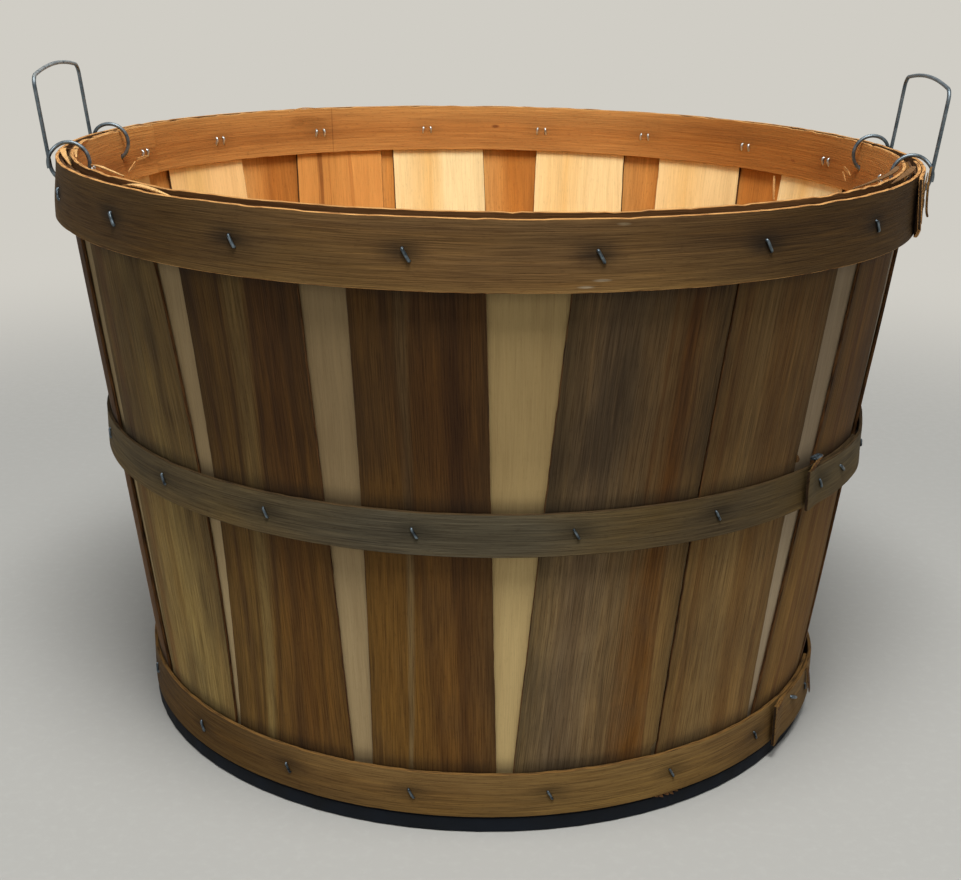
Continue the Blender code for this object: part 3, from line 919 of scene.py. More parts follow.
@dataclass
class Stave:
    """One strip of veneer, on the place of its CAD node.

    Args:
        node: The CAD node's name.
        number: The stave's place in its skin, from 0.
        outside: Whether it stands in the outer skin.
        columns: Faces across it.
        rows: Faces up it.
        hoop_levels: The levels at which hoops hold it.
        held: How far from there it is held flat, and over how much more it comes free.
        warp: How far it bows between two hoops.
        ragged: How far its edges are frayed.
        crook_levels: The levels of the bottom hoop and the rim in the table of crooked edges.
        notched: The number of the outer stave with a corner broken out above the bottom hoop.
        notch: That corner's level, half height and depth.
        head_wear: How far the upper end is worn down: everywhere, most by waves, and by chips.
        ledges: The levels of the two ledges above the lower hoops, above which the wall is darker.
        ledge_darkening: How far from a ledge the darkening reaches.
        painted_rim_shadow: The level and half height of the painted shadow under the rim hoop.
        edge_grime: The width of the grime along the edges.
        grain_step: How far apart the grain maps start, so that no two staves share their figure.
    """

    node: str
    number: int
    outside: bool
    columns: int = 10
    rows: int = 76
    hoop_levels: Triple = (0.021, 0.164, 0.294)
    held: tuple[float, float] = (0.012, 0.05)
    warp: float = 0.0003
    ragged: float = 0.0005
    crook_levels: tuple[float, float] = (0.035, 0.290)
    notched: int = 4
    notch: Triple = (0.0345, 0.004, 0.0048)
    head_wear: Triple = (0.0004, 0.0016, 0.0012)
    ledges: tuple[float, float] = (0.0328, 0.1743)
    ledge_darkening: float = 0.010
    painted_rim_shadow: tuple[float, float] = (0.2775, 0.006)
    edge_grime: float = 0.0022
    grain_step: float = 1.37

    def __post_init__(self) -> None:
        """Reads the stave's place from its CAD node."""
        points = [v.co for v in frame["nodes"][self.node].data.vertices]
        self.low = min(p.z for p in points)
        self.high = max(p.z for p in points)
        near = 0.2 * MM
        self.foot, half = self._ring([p for p in points if p.z < self.low + near])
        self.head, self.half = self._ring([p for p in points if p.z > self.high - near])
        self.step = 0.0 if self.outside else WALL.skin_step
        self.width = math.radians(half * 2) * (WALL.face(self.low) - self.step)
        self.seed = self.number + (0.5 if self.outside else 20.5)
        self.start = self.seed * self.grain_step

    @staticmethod
    def _ring(points: list[Vector]) -> tuple[float, float]:
        """Measures the stave at one level.

        Args:
            points: The CAD node's points there.

        Returns:
            The middle azimuth and half the angle that they span.
        """
        middle = math.degrees(math.atan2(sum(p.y for p in points), sum(p.x for p in points)))
        off = [signed(azimuth_of(p) - middle) for p in points]
        return middle + (max(off) + min(off)) / 2, (max(off) - min(off)) / 2

    def _aside(self, level: float, across: float) -> float:
        """Works out how far the wood stands aside of its CAD shape, as it is not cut straight.

        Args:
            level: The level.
            across: The share of the way across.

        Returns:
            The distance in metres.
        """
        low_level, high_level = self.crook_levels
        share = (level - low_level) / (high_level - low_level)
        ends = []
        for side in (0, 1):
            low, middle, high = CROOKED.get((self.number, side), (0.0, 0.0, 0.0))
            bend = 2 * (low + high - 2 * middle)
            ends.append(low + (high - low) * share + bend * share * (share - 1))
        return (ends[0] + (ends[1] - ends[0]) * across) * self.outside

    def _free(self, level: float) -> float:
        """Returns 0 where a hoop holds the stave and 1 half way between two hoops."""
        flat, span = self.held
        return ease((min(abs(level - hoop) for hoop in self.hoop_levels) - flat) / span)

    def level(self, along: float) -> float:
        """Returns the level at a share of the way up."""
        return self.low + along * (self.high - self.low)

    def skin(self, along: float, across: float) -> tuple[Vector, Vector]:
        """Gives the stave's two sides.

        Args:
            along: The share of the way along the sheet.
            across: The share of the way across it.

        Returns:
            The outer and the inner point.
        """
        level = self.level(along)
        outer = WALL.face(level) - self.step
        side = 2 * across - 1
        coarse = wave(level * 90, side * 3, self.seed) * 0.7
        fine = wave(level * 420, side * 5, self.seed + 3) * 0.5
        nibble = abs(self.ragged * (coarse + fine) * abs(side) ** 8)
        shift = side * self.width / 2 - math.copysign(nibble, side) + self._aside(level, across)
        if self.outside and self.number == self.notched and side > 0.95:
            middle, half, deep = self.notch
            shift -= deep * max(0.0, 1.0 - abs(level - middle) / half)
        turn = signed(self.head - self.foot)
        azimuth = self.foot + along * turn + math.degrees(shift / outer)
        ripple = wave(level * 12, side * 0.8, self.seed + 9) + 0.25 * side * side
        radius = outer + self.warp * self._free(level) * ripple
        if along > 0.999:
            even, waved, chipped = self.head_wear
            level -= even + waved * abs(wave(azimuth * 0.35, 0.0, self.seed))
            level -= chipped * (wave(azimuth * 2.2, 1.0, self.seed) > 0.25)
        return polar(radius, azimuth, level), polar(radius - WALL.veneer, azimuth, level)

    def grain(self, along: float, across: float) -> tuple[float, float]:
        """Returns the grain map's place: metres up the stave, and across it."""
        return along * (self.high - self.low) + self.start, across * self.width

    def dirt(self, along: float, across: float) -> float:
        """Gives the darkening above the ledges, the painted shadow under the rim hoop and the grime
        along the edges.

        Args:
            along: The share of the way along the sheet.
            across: The share of the way across it.

        Returns:
            Its strength from 0 to 1.
        """
        level = self.level(along)
        above = [level - ledge for ledge in self.ledges if level > ledge - 0.02]
        gap = min((abs(way) for way in above), default=1.0)
        # Painted shadow under the rim hoop's lower edge
        middle, half = self.painted_rim_shadow
        under = max(0.0, 1.0 - abs(level - middle) / half)
        patch = 0.8 + 0.2 * wave(level * 30, across * 4, self.seed)
        edge = max(0.0, 1.0 - min(across, 1 - across) * self.width / self.edge_grime)
        return max((1.0 - ease(gap / self.ledge_darkening)) * patch, 0.55 * under, 0.5 * edge * patch)


@dataclass
class StaveSkins:
    """The two skins of staves.

    Args:
        edge: The material of the staves' edges.
        cutters: The rings that cut the handles' holes.
        count: The staves in each skin.
        clear: The angle beyond a stave's edge at which a ring still cuts it.
    """

    edge: Material
    cutters: list[Object]
    count: int = 16
    clear: float = 1.5

    def paints(self, stave: Stave) -> list[Material]:
        """Makes the materials of a stave.

        Args:
            stave: The stave.

        Returns:
            Those of its outer face, inner face, edges and ends.
        """
        number, cut = stave.number, (stave.width, stave.start)
        tag = f"{number + 1:02d}"
        if stave.outside:
            look, back = OUTER_LOOKS[number], OUTER_BACKS[number % len(OUTER_BACKS)]
            front = VeneerFace(
                f"aged_veneer_{tag}", look.stops, *cut, streaks=look.streaks, fibre=0.65,
                waver=0.003, grey=look.grey, stain=0.8, shade=1.0,
            )
            stops = ((0.0, back), (0.3, "#b97632"), (0.45, back), (0.8, "#dca25c"), (1.0, back))
            inside = VeneerFace(f"heartwood_veneer_{tag}", stops, *cut, fibre=0.3)
        else:
            outward, inward = INNER_LOOKS[number]
            front = VeneerFace(
                f"sapwood_veneer_outward_{tag}", ((0.0, outward), (1.0, outward)), *cut,
                fibre=0.16, pores=0.08, broad=0.22, shade=0.75, stain=0.6, stain_tint="#2e2417",
            )
            band = "#c98a44" if number in HEARTWOOD else "#f4ca82"
            stops = ((0.0, inward), (0.4, inward), (0.62, band), (1.0, inward))
            inside = VeneerFace(
                f"sapwood_veneer_{tag}", stops, *cut, streaks=HEARTWOOD.get(number, ()),
                fibre=0.2, pores=0.1, broad=0.25, drift=0.2,
            )
        return [front.material(), inside.material(), self.edge, self.edge]

    def build(self) -> None:
        """Builds both skins."""
        for prefix in ("outer_stave", "inner_stave"):
            for number in range(self.count):
                stave = Stave(f"{prefix}_{number + 1:02d}", number, prefix == "outer_stave")
                near = [
                    ring for ring in self.cutters
                    if abs(signed(ring["azimuth"] - stave.head)) < stave.half + self.clear
                ]
                name, size = f"{stave.node}_veneer", (stave.rows, stave.columns)
                sheet = VeneerSheet(name, *size, stave.skin, stave.grain, stave.dirt)
                piece = sheet.build(self.paints(stave), near)
                hand_over(piece, BODY, [stave.node])
                LOG.info("%s: %.0f mm wide", piece.name, stave.width / MM)


# Hoops


@dataclass
class Hoop:
    """A veneer band that goes once round, its last stretch lapped over its own start.

    Args:
        node: The CAD node that it stands for.
        slot: The record's material slot; it is not used.
        bottom: The level of its lower edge.
        width: Its height.
        thickness: Its thickness.
        lap_end: The azimuth where the lap ends, with the band's own start farther round.
        side: The way in which the lap steps clear.
        staples: The azimuth and level of each staple that dents and stains it.
        flare: How far it leans out, as a share of what the wall widens over its width.
        lap_length: The lap's length.
        rise_length: The length over which the lap steps clear.
        step: The angle from one column of faces to the next.
        rows: Faces up it.
        end_lift: How far the lap's end stands off.
        end_span: The angle over which the lap's end lifts.
        splay: How far the lap's end stands off below more than above.
        crest: How far the upper edge rises at the front of the basket.
        crest_at: The azimuth where it rises most.
        end_cut: How many degrees the band's two ends are cut back evenly, and raggedly at most.
        chip: How deep the upper edge is chipped; the lower edge is chipped half as deep.
        bulge: Where the lower edge stands off, over how many degrees, and how far.
        torn_corner: How much of the lower corner is gone at the lap's end.
        torn_span: The angle over which it is gone.
        ripple: How far the outside is uneven.
        dent: How far round a staple the band is dented, and how deep.
        smudge: How far round a staple it is stained, how much longer along the band than up it,
            and how far above the staple.
    """

    node: str
    slot: str
    bottom: float
    width: float
    thickness: float
    lap_end: float
    side: Side
    staples: Sequence[tuple[float, float]]
    flare: float = 0.0
    lap_length: float = 0.070
    rise_length: float = 0.040
    step: float = 1.0
    rows: int = 8
    end_lift: float = 0.0008
    end_span: float = 5.0
    splay: float = 0.0
    crest: float = 0.0
    crest_at: float = -95.0
    end_cut: tuple[float, float] = (0.12, 0.22)
    chip: float = 0.0005
    bulge: Triple = (0.0, 1.0, 0.0)
    torn_corner: float = 0.0
    torn_span: float = 3.0
    ripple: float = 0.0003
    dent: tuple[float, float] = (0.009, 0.0004)
    smudge: Triple = (0.0075, 2.2, 0.0012)

    def __post_init__(self) -> None:
        """Works out the band's radius and where it starts."""
        away = WALL.fit + self.thickness / 2
        if self.side is Side.OUTSIDE:
            self.radius = WALL.face(self.bottom + self.width) + away
        else:
            self.radius = WALL.face(self.bottom) - WALL.wall_step - away
        self.lap = math.degrees(self.lap_length / self.radius)
        self.rise = math.degrees(self.rise_length / self.radius)
        self.start = self.lap_end + self.lap
        self.sweep = TURN + self.lap
        self.length = math.radians(self.sweep) * self.radius

    def _at_end(self, swept: float, span: float) -> float:
        """Returns 1 at the lap's end and 0 where it is more than a span of degrees away."""
        return ease((swept - self.sweep + span) / span)

    def middle(self, swept: float, level: float) -> float:
        """Gives the band's middle surface.

        Args:
            swept: The angle swept since the band's start.
            level: The level.

        Returns:
            Its radius.
        """
        step = (self.thickness + WALL.fit) * ease((swept - TURN + self.rise) / self.rise)
        below = 1.0 - (level - self.bottom) / self.width
        lift = (self.end_lift + self.splay * below) * self._at_end(swept, self.end_span) ** 2
        lean = self.flare * WALL.taper * (level - self.bottom)
        where, span, most = self.bulge
        off = abs(signed(self.start - swept - where)) / span
        lean += most * (1.0 - ease(off)) * ease(below * 1.2)
        return self.radius + lean + self.side.value * (step + lift)

    def chipped(self, azimuth: float, upper: bool) -> float:
        """Chips an edge: long flakes that end squarely, and small nicks.

        Args:
            azimuth: The azimuth.
            upper: Whether it is the upper edge.

        Returns:
            How deep it is chipped.
        """
        seed = self.radius * 50 + (7.0 if upper else 3.0)
        flake = math.floor(azimuth * 0.45 + 1.2 * wave(azimuth * 0.3, 4.0, seed))
        gone = 0.7 if wave(flake * 7.7, 2.0, seed) > 0.22 else 0.0
        swell = max(0.0, wave(azimuth * 0.16, 1.0, seed))
        nick = abs(wave(azimuth * 2.6, 3.0, seed))
        return self.chip * (1.0 if upper else 0.5) * (gone + 0.9 * swell + 0.5 * nick)

    def swept(self, azimuth: float) -> float:
        """Returns the angle that the band has swept, before its lap, at an azimuth."""
        return (self.start - azimuth) % TURN

    def face(self, azimuth: float, level: float, side: Side) -> float:
        """Finds the face of the hoop that shows.

        Args:
            azimuth: The azimuth.
            level: The level.
            side: Which side it is seen from.

        Returns:
            Its radius.
        """
        swept = self.swept(azimuth)
        showing = swept + TURN if side is self.side and swept <= self.lap else swept
        return self.middle(showing, level) + side.value * self.thickness / 2

    def skin(self, along: float, across: float) -> tuple[Vector, Vector]:
        """Gives the band's two sides.

        Args:
            along: The share of the way along the sheet.
            across: The share of the way across it.

        Returns:
            The outer and the inner point.
        """
        swept = along * self.sweep
        level = self.bottom + across * self.width
        azimuth = self.start - swept
        radius = self.middle(swept, level)
        dip = self.ripple * (0.5 + 0.5 * wave(azimuth * 0.06, level * 20, self.radius * 90))
        far, deep = self.dent
        for pin, height in self.staples:
            run = math.radians(signed(azimuth - pin)) * self.radius
            dip += deep * (1 - ease(math.hypot(run, level - height) / far))
        if min(along, 1 - along) < 1e-6:
            even, most = self.end_cut
            azimuth += even + most * abs(wave(level * 300, 2.0, self.radius * 40))
        if across > 0.5:
            front = max(0.0, math.cos(math.radians(signed(azimuth - self.crest_at)) * 0.8))
            level += (across - 0.5) * 2 * self.crest * (0.25 + 0.75 * front)
        torn = self.torn_corner * self._at_end(swept, self.torn_span) * (1 - across)
        level += torn * (0.8 + 0.5 * wave(azimuth * 2.0, 5.0, self.radius))
        if min(across, 1 - across) < 1e-6:
            upper = across > 0.5
            level += (-1 if upper else 1) * self.chipped(azimuth, upper)
        radius -= dip
        half = self.thickness / 2
        return polar(radius + half, azimuth, level), polar(radius - half, azimuth, level)

    def grain_along(self, swept: float) -> float:
        """Returns the grain map's place round the hoop after a swept angle."""
        return swept / self.sweep * self.length + self.radius * 31

    def grain(self, along: float, across: float) -> tuple[float, float]:
        """Returns the grain map's place: metres round the hoop, and up it."""
        return self.grain_along(along * self.sweep), across * self.width

    def dirt(self, along: float, across: float) -> float:
        """Gives the dark smudges round the staples.

        Args:
            along: The share of the way along the sheet.
            across: The share of the way across it.

        Returns:
            Their strength from 0 to 1.
        """
        azimuth = self.start - along * self.sweep
        level = self.bottom + across * self.width
        far, longer, above = self.smudge
        nearest = far
        for pin, height in self.staples:
            run = math.radians(signed(azimuth - pin)) * self.radius
            nearest = min(nearest, math.hypot(run / longer, level - height - above))
        return 0.9 * (1 - ease(nearest / far))

    def build(self, paints: Sequence[Material], cutters: Sequence[Object]) -> None:
        """Builds the hoop, riding on the basket.

        Args:
            paints: The materials of the outer face, the inner face, the edges and the ends.
            cutters: What pierces it.
        """
        columns = math.ceil(self.sweep / self.step)
        name, size = f"{self.node}_band", (columns, self.rows)
        sheet = VeneerSheet(name, *size, self.skin, self.grain, self.dirt)
        hand_over(sheet.build(paints, cutters), BODY, [self.node])
        LOG.info("%s: lap ends at %.1f degrees", name, self.lap_end)


# Handles


@dataclass
class WireHandle:
    """A handle bent from one wire: a grip, two legs, and a hook at each leg round the rim.

    Args:
        node: The CAD node that it stands for.
        body: The body that it rides on.
        hinge: The middle of its hinge line.
        facing: The azimuth of the side on which it hangs.
        finish: Its wire.
        wire: The wire's radius.
        half_width: Half the way between the two hooks.
        reach: The way from the hinge line's level to the grip.
        lean: How far the legs lean outwards.
        corner: The radius of the corners between legs and grip.
        arch: How far the grip rises in the middle.
        hook: The radius of the hooks.
        hook_end: The angle of the hook's end round the hinge line.
        aside_start: The angle after which the wire's end steps aside of the leg.
        aside_span: The angle over which it does.
        side_gap: The gap between the end and the leg.
        wobble: How uneven the wire is.
        hole_gap: How much wider the holes' radius is than the wire's.
        steps: Points along a hook, a leg, a corner and half the grip.
    """

    node: str
    body: str
    hinge: Vector
    facing: float
    finish: DrawnWire
    wire: float = 0.00105
    half_width: float = 0.043
    reach: float = 0.0461
    lean: float = 7.0
    corner: float = 0.006
    arch: float = 0.0029
    hook: float = 0.0105
    hook_end: float = -375.0
    aside_start: float = -300.0
    aside_span: float = 40.0
    side_gap: float = 0.0006
    wobble: float = 0.00022
    hole_gap: float = 0.0004
    steps: tuple[int, int, int, int] = (90, 12, 9, 12)

    def hook_point(self, angle: float) -> Vector:
        """Bends the back hook, with the hinge line along Y through the origin.

        Args:
            angle: The angle round the hinge line.

        Returns:
            The point of the wire there.
        """
        aside = (2 * self.wire + self.side_gap) * ease((self.aside_start - angle) / self.aside_span)
        turned = math.radians(angle)
        across = self.half_width + aside
        return Vector((self.hook * math.cos(turned), across, self.hook * math.sin(turned)))

    def path(self) -> list[Vector]:
        """Returns the wire's points, from the back hook's end to the front hook's end."""
        hook, leg, corner, grip = self.steps
        swing = -self.lean - self.hook_end
        half = [self.hook_point(self.hook_end + swing * i / hook) for i in range(hook + 1)]
        lean = math.radians(self.lean)
        up = Vector((math.sin(lean), 0, math.cos(lean)))
        foot = Vector((half[-1].x, 0, half[-1].z))
        spots = [((self.reach - self.corner) * i / leg, self.half_width) for i in range(1, leg)]
        for i in range(corner + 1):
            turned = math.pi / 2 * i / corner
            level = self.reach - self.corner * (1 - math.sin(turned))
            spots.append((level, self.half_width - self.corner * (1 - math.cos(turned))))
        for i in range(1, grip + 1):
            share = 1 - i / grip
            level = self.reach + self.arch * (1 - share**2)
            spots.append((level, (self.half_width - self.corner) * share))
        half += [foot + up * level + Vector((0, side, 0)) for level, side in spots]
        points = half + [Vector((p.x, -p.y, p.z)) for p in reversed(half[:-1])]
        turned = Matrix.Rotation(math.radians(self.facing), 3, "Z")
        placed = []
        for point in points:
            free = ease((point.z - self.hook) / 0.02) * self.wobble
            sway = -abs(wave(point.y * 30, point.z * 40, 3.0 + self.facing)) * free
            placed.append(turned @ (point + Vector((sway, 0, 0))) + self.hinge)
        return placed

    def build(self) -> None:
        """Builds the handle, riding on its own body."""
        data = bpy.data.curves.new(f"{self.node}_path", "CURVE")
        data.dimensions = "3D"
        data.bevel_depth = self.wire
        data.bevel_resolution = 5
        data.use_fill_caps = True
        spline = data.splines.new("POLY")
        points = self.path()
        spline.points.add(len(points) - 1)
        for point, place in zip(spline.points, points):
            point.co = (*place, 1)
        drawn = new_piece(f"{self.node}_drawn", data)
        build = bmesh.new()
        build.from_mesh(plain_mesh(drawn))
        bpy.data.objects.remove(drawn)
        bmesh.ops.remove_doubles(build, verts=build.verts, dist=0.00001)
        for face in build.faces:
            face.smooth = True
        mesh = to_mesh(build, f"{self.node}_wire")
        sharpen(mesh, 50.0)
        piece = new_piece(mesh.name, mesh, [self.finish.material()])
        hand_over(piece, self.body, [self.node])
        LOG.info("%s: %d points along the wire", piece.name, len(points))

    def hole_cutters(self) -> list[Object]:
        """Returns rings a little wider than the wire, which cut the holes of the two hooks."""
        made = []
        for side in (-1, 1):
            bpy.ops.mesh.primitive_torus_add(
                major_radius=self.hook,
                minor_radius=self.wire + self.hole_gap,
                major_segments=48,
                minor_segments=10,
            )
            ring = bpy.context.object
            place = self.hinge + Vector((0, side * self.half_width, 0))
            ring.data.transform(Matrix.Translation(place) @ Matrix.Rotation(math.pi / 2, 4, "X"))
            ring.name = f"{self.node}_hole_{side}"
            ring["azimuth"] = azimuth_of(place)
            ring.hide_render = True
            made.append(ring)
        return made


# Staples


STAPLE_SIZES = ("Wire", "Rise", "Run", "Stand", "Depth", "Corner", "Clinch", "Apart", "Spread")
PIN_DATA = (("aim", "FLOAT_VECTOR"), ("inside", "FLOAT"), ("size", "FLOAT"))


@dataclass
class StapleTree:
    """The geometry nodes that set a wire staple's crown or its clinched ends on every point.

    A point's attribute "aim" turns it so that +X leaves the wood, "inside" says whether the ends
    show there, and "size" scales it.

    Args:
        wire: The wire's radius.
        rise: The crown's height.
        run: How far the crown runs sideways on that height.
        stand: How far the crown stands out of the wood.
        depth: How far the loop goes into it.
        corner: The radius of the crown's corners.
        clinch: The length of a clinched end.
        apart: The way between the two ends.
        spread: How far the sizes differ from staple to staple.
        seed: The seed of those differences.
    """

    wire: float = 0.00072
    rise: float = 0.0050
    run: float = 0.0029
    stand: float = 0.0008
    depth: float = 0.0012
    corner: float = 0.0006
    clinch: float = 0.0050
    apart: float = 0.0052
    spread: float = 0.08
    seed: int = 5

    def __post_init__(self) -> None:
        """Builds the node tree."""
        self.tree = tree = bpy.data.node_groups.new("wire staples", "GeometryNodeTree")
        kinds = {"Geometry": "Geometry"} | dict.fromkeys(STAPLE_SIZES, "Float")
        for name, kind in (kinds | {"Seed": "Int", "Material": "Material"}).items():
            tree.interface.new_socket(name, in_out="INPUT", socket_type=f"NodeSocket{kind}")
        tree.interface.new_socket("Geometry", in_out="OUTPUT", socket_type="NodeSocketGeometry")
        self.given = given = add_node(tree, "NodeGroupInput").outputs
        ring = {"Resolution": 7, "Radius": given["Wire"]}
        wire = add_node(tree, "GeometryNodeCurvePrimitiveCircle", ring)
        aim, inside, size = (
            add_node(tree, "GeometryNodeInputNamedAttribute", {"Name": name}, data_type=kind)
            for name, kind in PIN_DATA
        )
        turn = add_node(tree, "FunctionNodeEulerToRotation", {0: aim})
        least, most = (
            add_node(tree, MATH, {0: given["Spread"], 1: way, 2: 1.0}, operation="MULTIPLY_ADD")
            for way in (-1.0, 1.0)
        )
        span = {"Min": least, "Max": most, "Seed": given["Seed"]}
        jitter = add_node(tree, "FunctionNodeRandomValue", span, data_type="FLOAT").outputs["Value"]
        scale = add_node(tree, MATH, {0: size, 1: jitter}, operation="MULTIPLY")
        placed = add_node(tree, "GeometryNodeJoinGeometry")
        for curve, test in ((self._crown(), "LESS_THAN"), (self._ends(), "GREATER_EQUAL")):
            drawn = {"Curve": curve, "Profile Curve": wire, "Fill Caps": True}
            shape = add_node(tree, "GeometryNodeCurveToMesh", drawn)
            chosen = add_node(tree, "FunctionNodeCompare", {0: inside, 1: 0.5}, operation=test)
            spots = {"Points": given["Geometry"], "Selection": chosen, "Instance": shape}
            spots |= {"Rotation": turn, "Scale": scale}
            feed(tree, placed, {0: add_node(tree, "GeometryNodeInstanceOnPoints", spots)})
        real = add_node(tree, "GeometryNodeRealizeInstances", {0: placed})
        smooth = add_node(tree, "GeometryNodeSetShadeSmooth", {0: real})
        paint = {"Geometry": smooth, "Material": given["Material"]}
        dressed = add_node(tree, "GeometryNodeSetMaterial", paint)
        add_node(tree, "NodeGroupOutput", {"Geometry": dressed})

    def _spot(self, *parts: tuple[str, float]) -> Node:
        """Adds a point that follows the sizes.

        Args:
            parts: For each coordinate, the name of a size and a factor.

        Returns:
            The point's node.
        """
        tree, given = self.tree, self.given
        axes = {
            axis: add_node(tree, MATH, {0: given[name], 1: factor}, operation="MULTIPLY")
            for axis, (name, factor) in enumerate(parts)
        }
        return add_node(tree, JOIN, axes)

    def _crown(self) -> Node:
        """Returns the crown: a closed loop whose far side lies in the wood."""
        left, right, top, low = ("Run", -0.5), ("Run", 0.5), ("Rise", 0.5), ("Rise", -0.5)
        deep, proud = ("Depth", -1.0), ("Stand", 1.0)
        corners = ((deep, left, top), (proud, left, top), (proud, right, low), (deep, right, low))
        spots = {f"Point {n + 1}": self._spot(*corner) for n, corner in enumerate(corners)}
        loop = add_node(self.tree, "GeometryNodeCurvePrimitiveQuadrilateral", spots, mode="POINTS")
        bend = {"Curve": loop, "Radius": self.given["Corner"], "Count": 3}
        return add_node(self.tree, "GeometryNodeFilletCurve", bend, mode="POLY")

    def _ends(self) -> Node:
        """Returns the two clinched ends, each bent over and down."""
        kind = "GeometryNodeCurvePrimitiveBezierSegment"
        bend = {
            "Start": (-0.15, 0.5, 0.46),
            "Start Handle": (0.46, 0.5, 0.54),
            "End Handle": (0.30, 0.58, -0.1),
            "End": (-0.04, 0.58, -0.5),
        }
        both = add_node(self.tree, "GeometryNodeJoinGeometry")
        for way in (1.0, -1.0):
            spots = {
                key: self._spot(("Clinch", out), ("Apart", aside * way), ("Clinch", up))
                for key, (out, aside, up) in bend.items()
            }
            end = add_node(self.tree, kind, spots | {"Resolution": 12}, mode="POSITION")
            feed(self.tree, both, {0: end})
        return both


@dataclass(frozen=True)
class Pin:
    """One staple: where its crown or its ends show, and how it is turned."""

    place: Vector
    azimuth: float
    slant: float = 0.0
    inside: bool = False
    size: float = 1.0


@dataclass
class StapleRow:
    """One row of staples as a single piece."""

    name: str
    pins: list[Pin]
    tree: StapleTree
    paint: Material
    replaced: Sequence[str] = ()

    def build(self) -> None:
        """Builds the row, riding on the basket."""
        mesh = bpy.data.meshes.new(self.name)
        mesh.from_pydata([pin.place for pin in self.pins], [], [])
        for name, kind in PIN_DATA:
            mesh.attributes.new(name, kind, "POINT")
        aim, inside, size = (mesh.attributes[name].data for name, _ in PIN_DATA)
        for index, pin in enumerate(self.pins):
            facing = math.radians(pin.azimuth + (180.0 if pin.inside else 0.0))
            slant = Matrix.Rotation(math.radians(pin.slant), 3, "X")
            aim[index].vector = tuple((Matrix.Rotation(facing, 3, "Z") @ slant).to_euler())
            inside[index].value = float(pin.inside)
            size[index].value = pin.size
        piece = new_piece(self.name, mesh)
        nodes = piece.modifiers.new("staples", "NODES")
        nodes.node_group = self.tree.tree
        values = {name: getattr(self.tree, name.lower()) for name in STAPLE_SIZES}
        values |= {"Seed": self.tree.seed, "Material": self.paint}
        for item in self.tree.tree.interface.items_tree:
            if item.in_out == "INPUT" and item.name in values:
                nodes[item.identifier] = values[item.name]
        settle(piece)
        hand_over(piece, BODY, self.replaced)
        LOG.info("%s: %d marks", self.name, len(self.pins))


# Torn wood


@dataclass(frozen=True)
class Sliver:
    """A torn ply: a thin strip along a few points.

    Args:
        lie: The way in which its width runs.
        points: Each point's azimuth, and its radius, level and half width in millimetres.
        thickness: Its thickness in metres.
    """

    lie: Lie
    points: tuple[tuple[float, float, float, float], ...]
    thickness: float = 0.0006


@dataclass(frozen=True)
class TornWood:
    """The splinters of one spot as a single piece of closed strips.

    Args:
        name: The piece's name.
        slot: The record's material slot; it is not used.
        aged: Whether the wood has darkened since it tore.
        slivers: The strips.
        steps: Sections from one point of a strip to the next.
    """

    name: str
    slot: str
    aged: bool
    slivers: tuple[Sliver, ...]
    steps: int = 5

    @staticmethod
    def _curved(values: Sequence[float], place: float) -> float:
        """Follows a smooth curve through evenly spaced values.

        Args:
            values: The values.
            place: The place, counted in them.

        Returns:
            The value there.
        """
        index = min(int(place), len(values) - 2)
        share = place - index
        a, b = values[index], values[index + 1]
        slope_a = (b - values[max(index - 1, 0)]) / 2
        slope_b = (values[min(index + 2, len(values) - 1)] - a) / 2
        square, cube = share**2, share**3
        start = a * (2 * cube - 3 * square + 1) + slope_a * (cube - 2 * square + share)
        return start + b * (3 * square - 2 * cube) + slope_b * (cube - square)

    def _ring(self, sliver: Sliver, place: float) -> list[Vector]:
        """Gives a sliver's section.

        Args:
            sliver: The sliver.
            place: The place, counted in its points.

        Returns:
            The section's four corners.
        """
        azimuth, radius, level, half = (self._curved(c, place) for c in zip(*sliver.points))
        half *= MM * (1 + 0.25 * wave(place * 3.1, level * 0.9, azimuth))
        away, aside = polar(1.0, azimuth, 0.0), polar(1.0, azimuth + 90.0, 0.0)
        ways = {Lie.UPRIGHT: (UP, away), Lie.ROUND: (aside, away), Lie.FLAT: (away, UP)}
        across, through = ways[sliver.lie]
        middle = polar(radius * MM, azimuth, level * MM)
        thin = sliver.thickness / 2 * (1 if half > sliver.thickness else 0.7)
        corners = ((-1, -1), (1, -1), (1, 1), (-1, 1))
        return [middle + across * half * a + through * thin * b for a, b in corners]

    def build(self, paints: Sequence[Material]) -> None:
        """Builds the strips, riding on the basket.

        Args:
            paints: The materials of the faces and of the edges.
        """
        build = bmesh.new()
        layer = build.loops.layers.uv.new(GRAIN_MAP)
        for number, sliver in enumerate(self.slivers):
            places = [i / self.steps for i in range((len(sliver.points) - 1) * self.steps + 1)]
            rings = [[build.verts.new(p) for p in self._ring(sliver, place)] for place in places]
            faces = []
            for before, after in zip(rings, rings[1:]):
                for k in range(4):
                    n = (k + 1) % 4
                    faces.append(build.faces.new((before[k], before[n], after[n], after[k])))
                    faces[-1].material_index = k % 2
            for ring in (rings[0], rings[-1]):
                faces.append(build.faces.new(ring))
                faces[-1].material_index = 1
            start = rings[0][0].co.copy()
            for loop in (loop for face in faces for loop in face.loops):
                spot = loop.vert.co - start
                loop[layer].uv = (spot.length + number * 0.7, spot.x + spot.z)
        piece = new_piece(self.name, to_mesh(build, self.name), paints)
        hand_over(piece, BODY)
        LOG.info("%s: %d slivers", self.name, len(self.slivers))


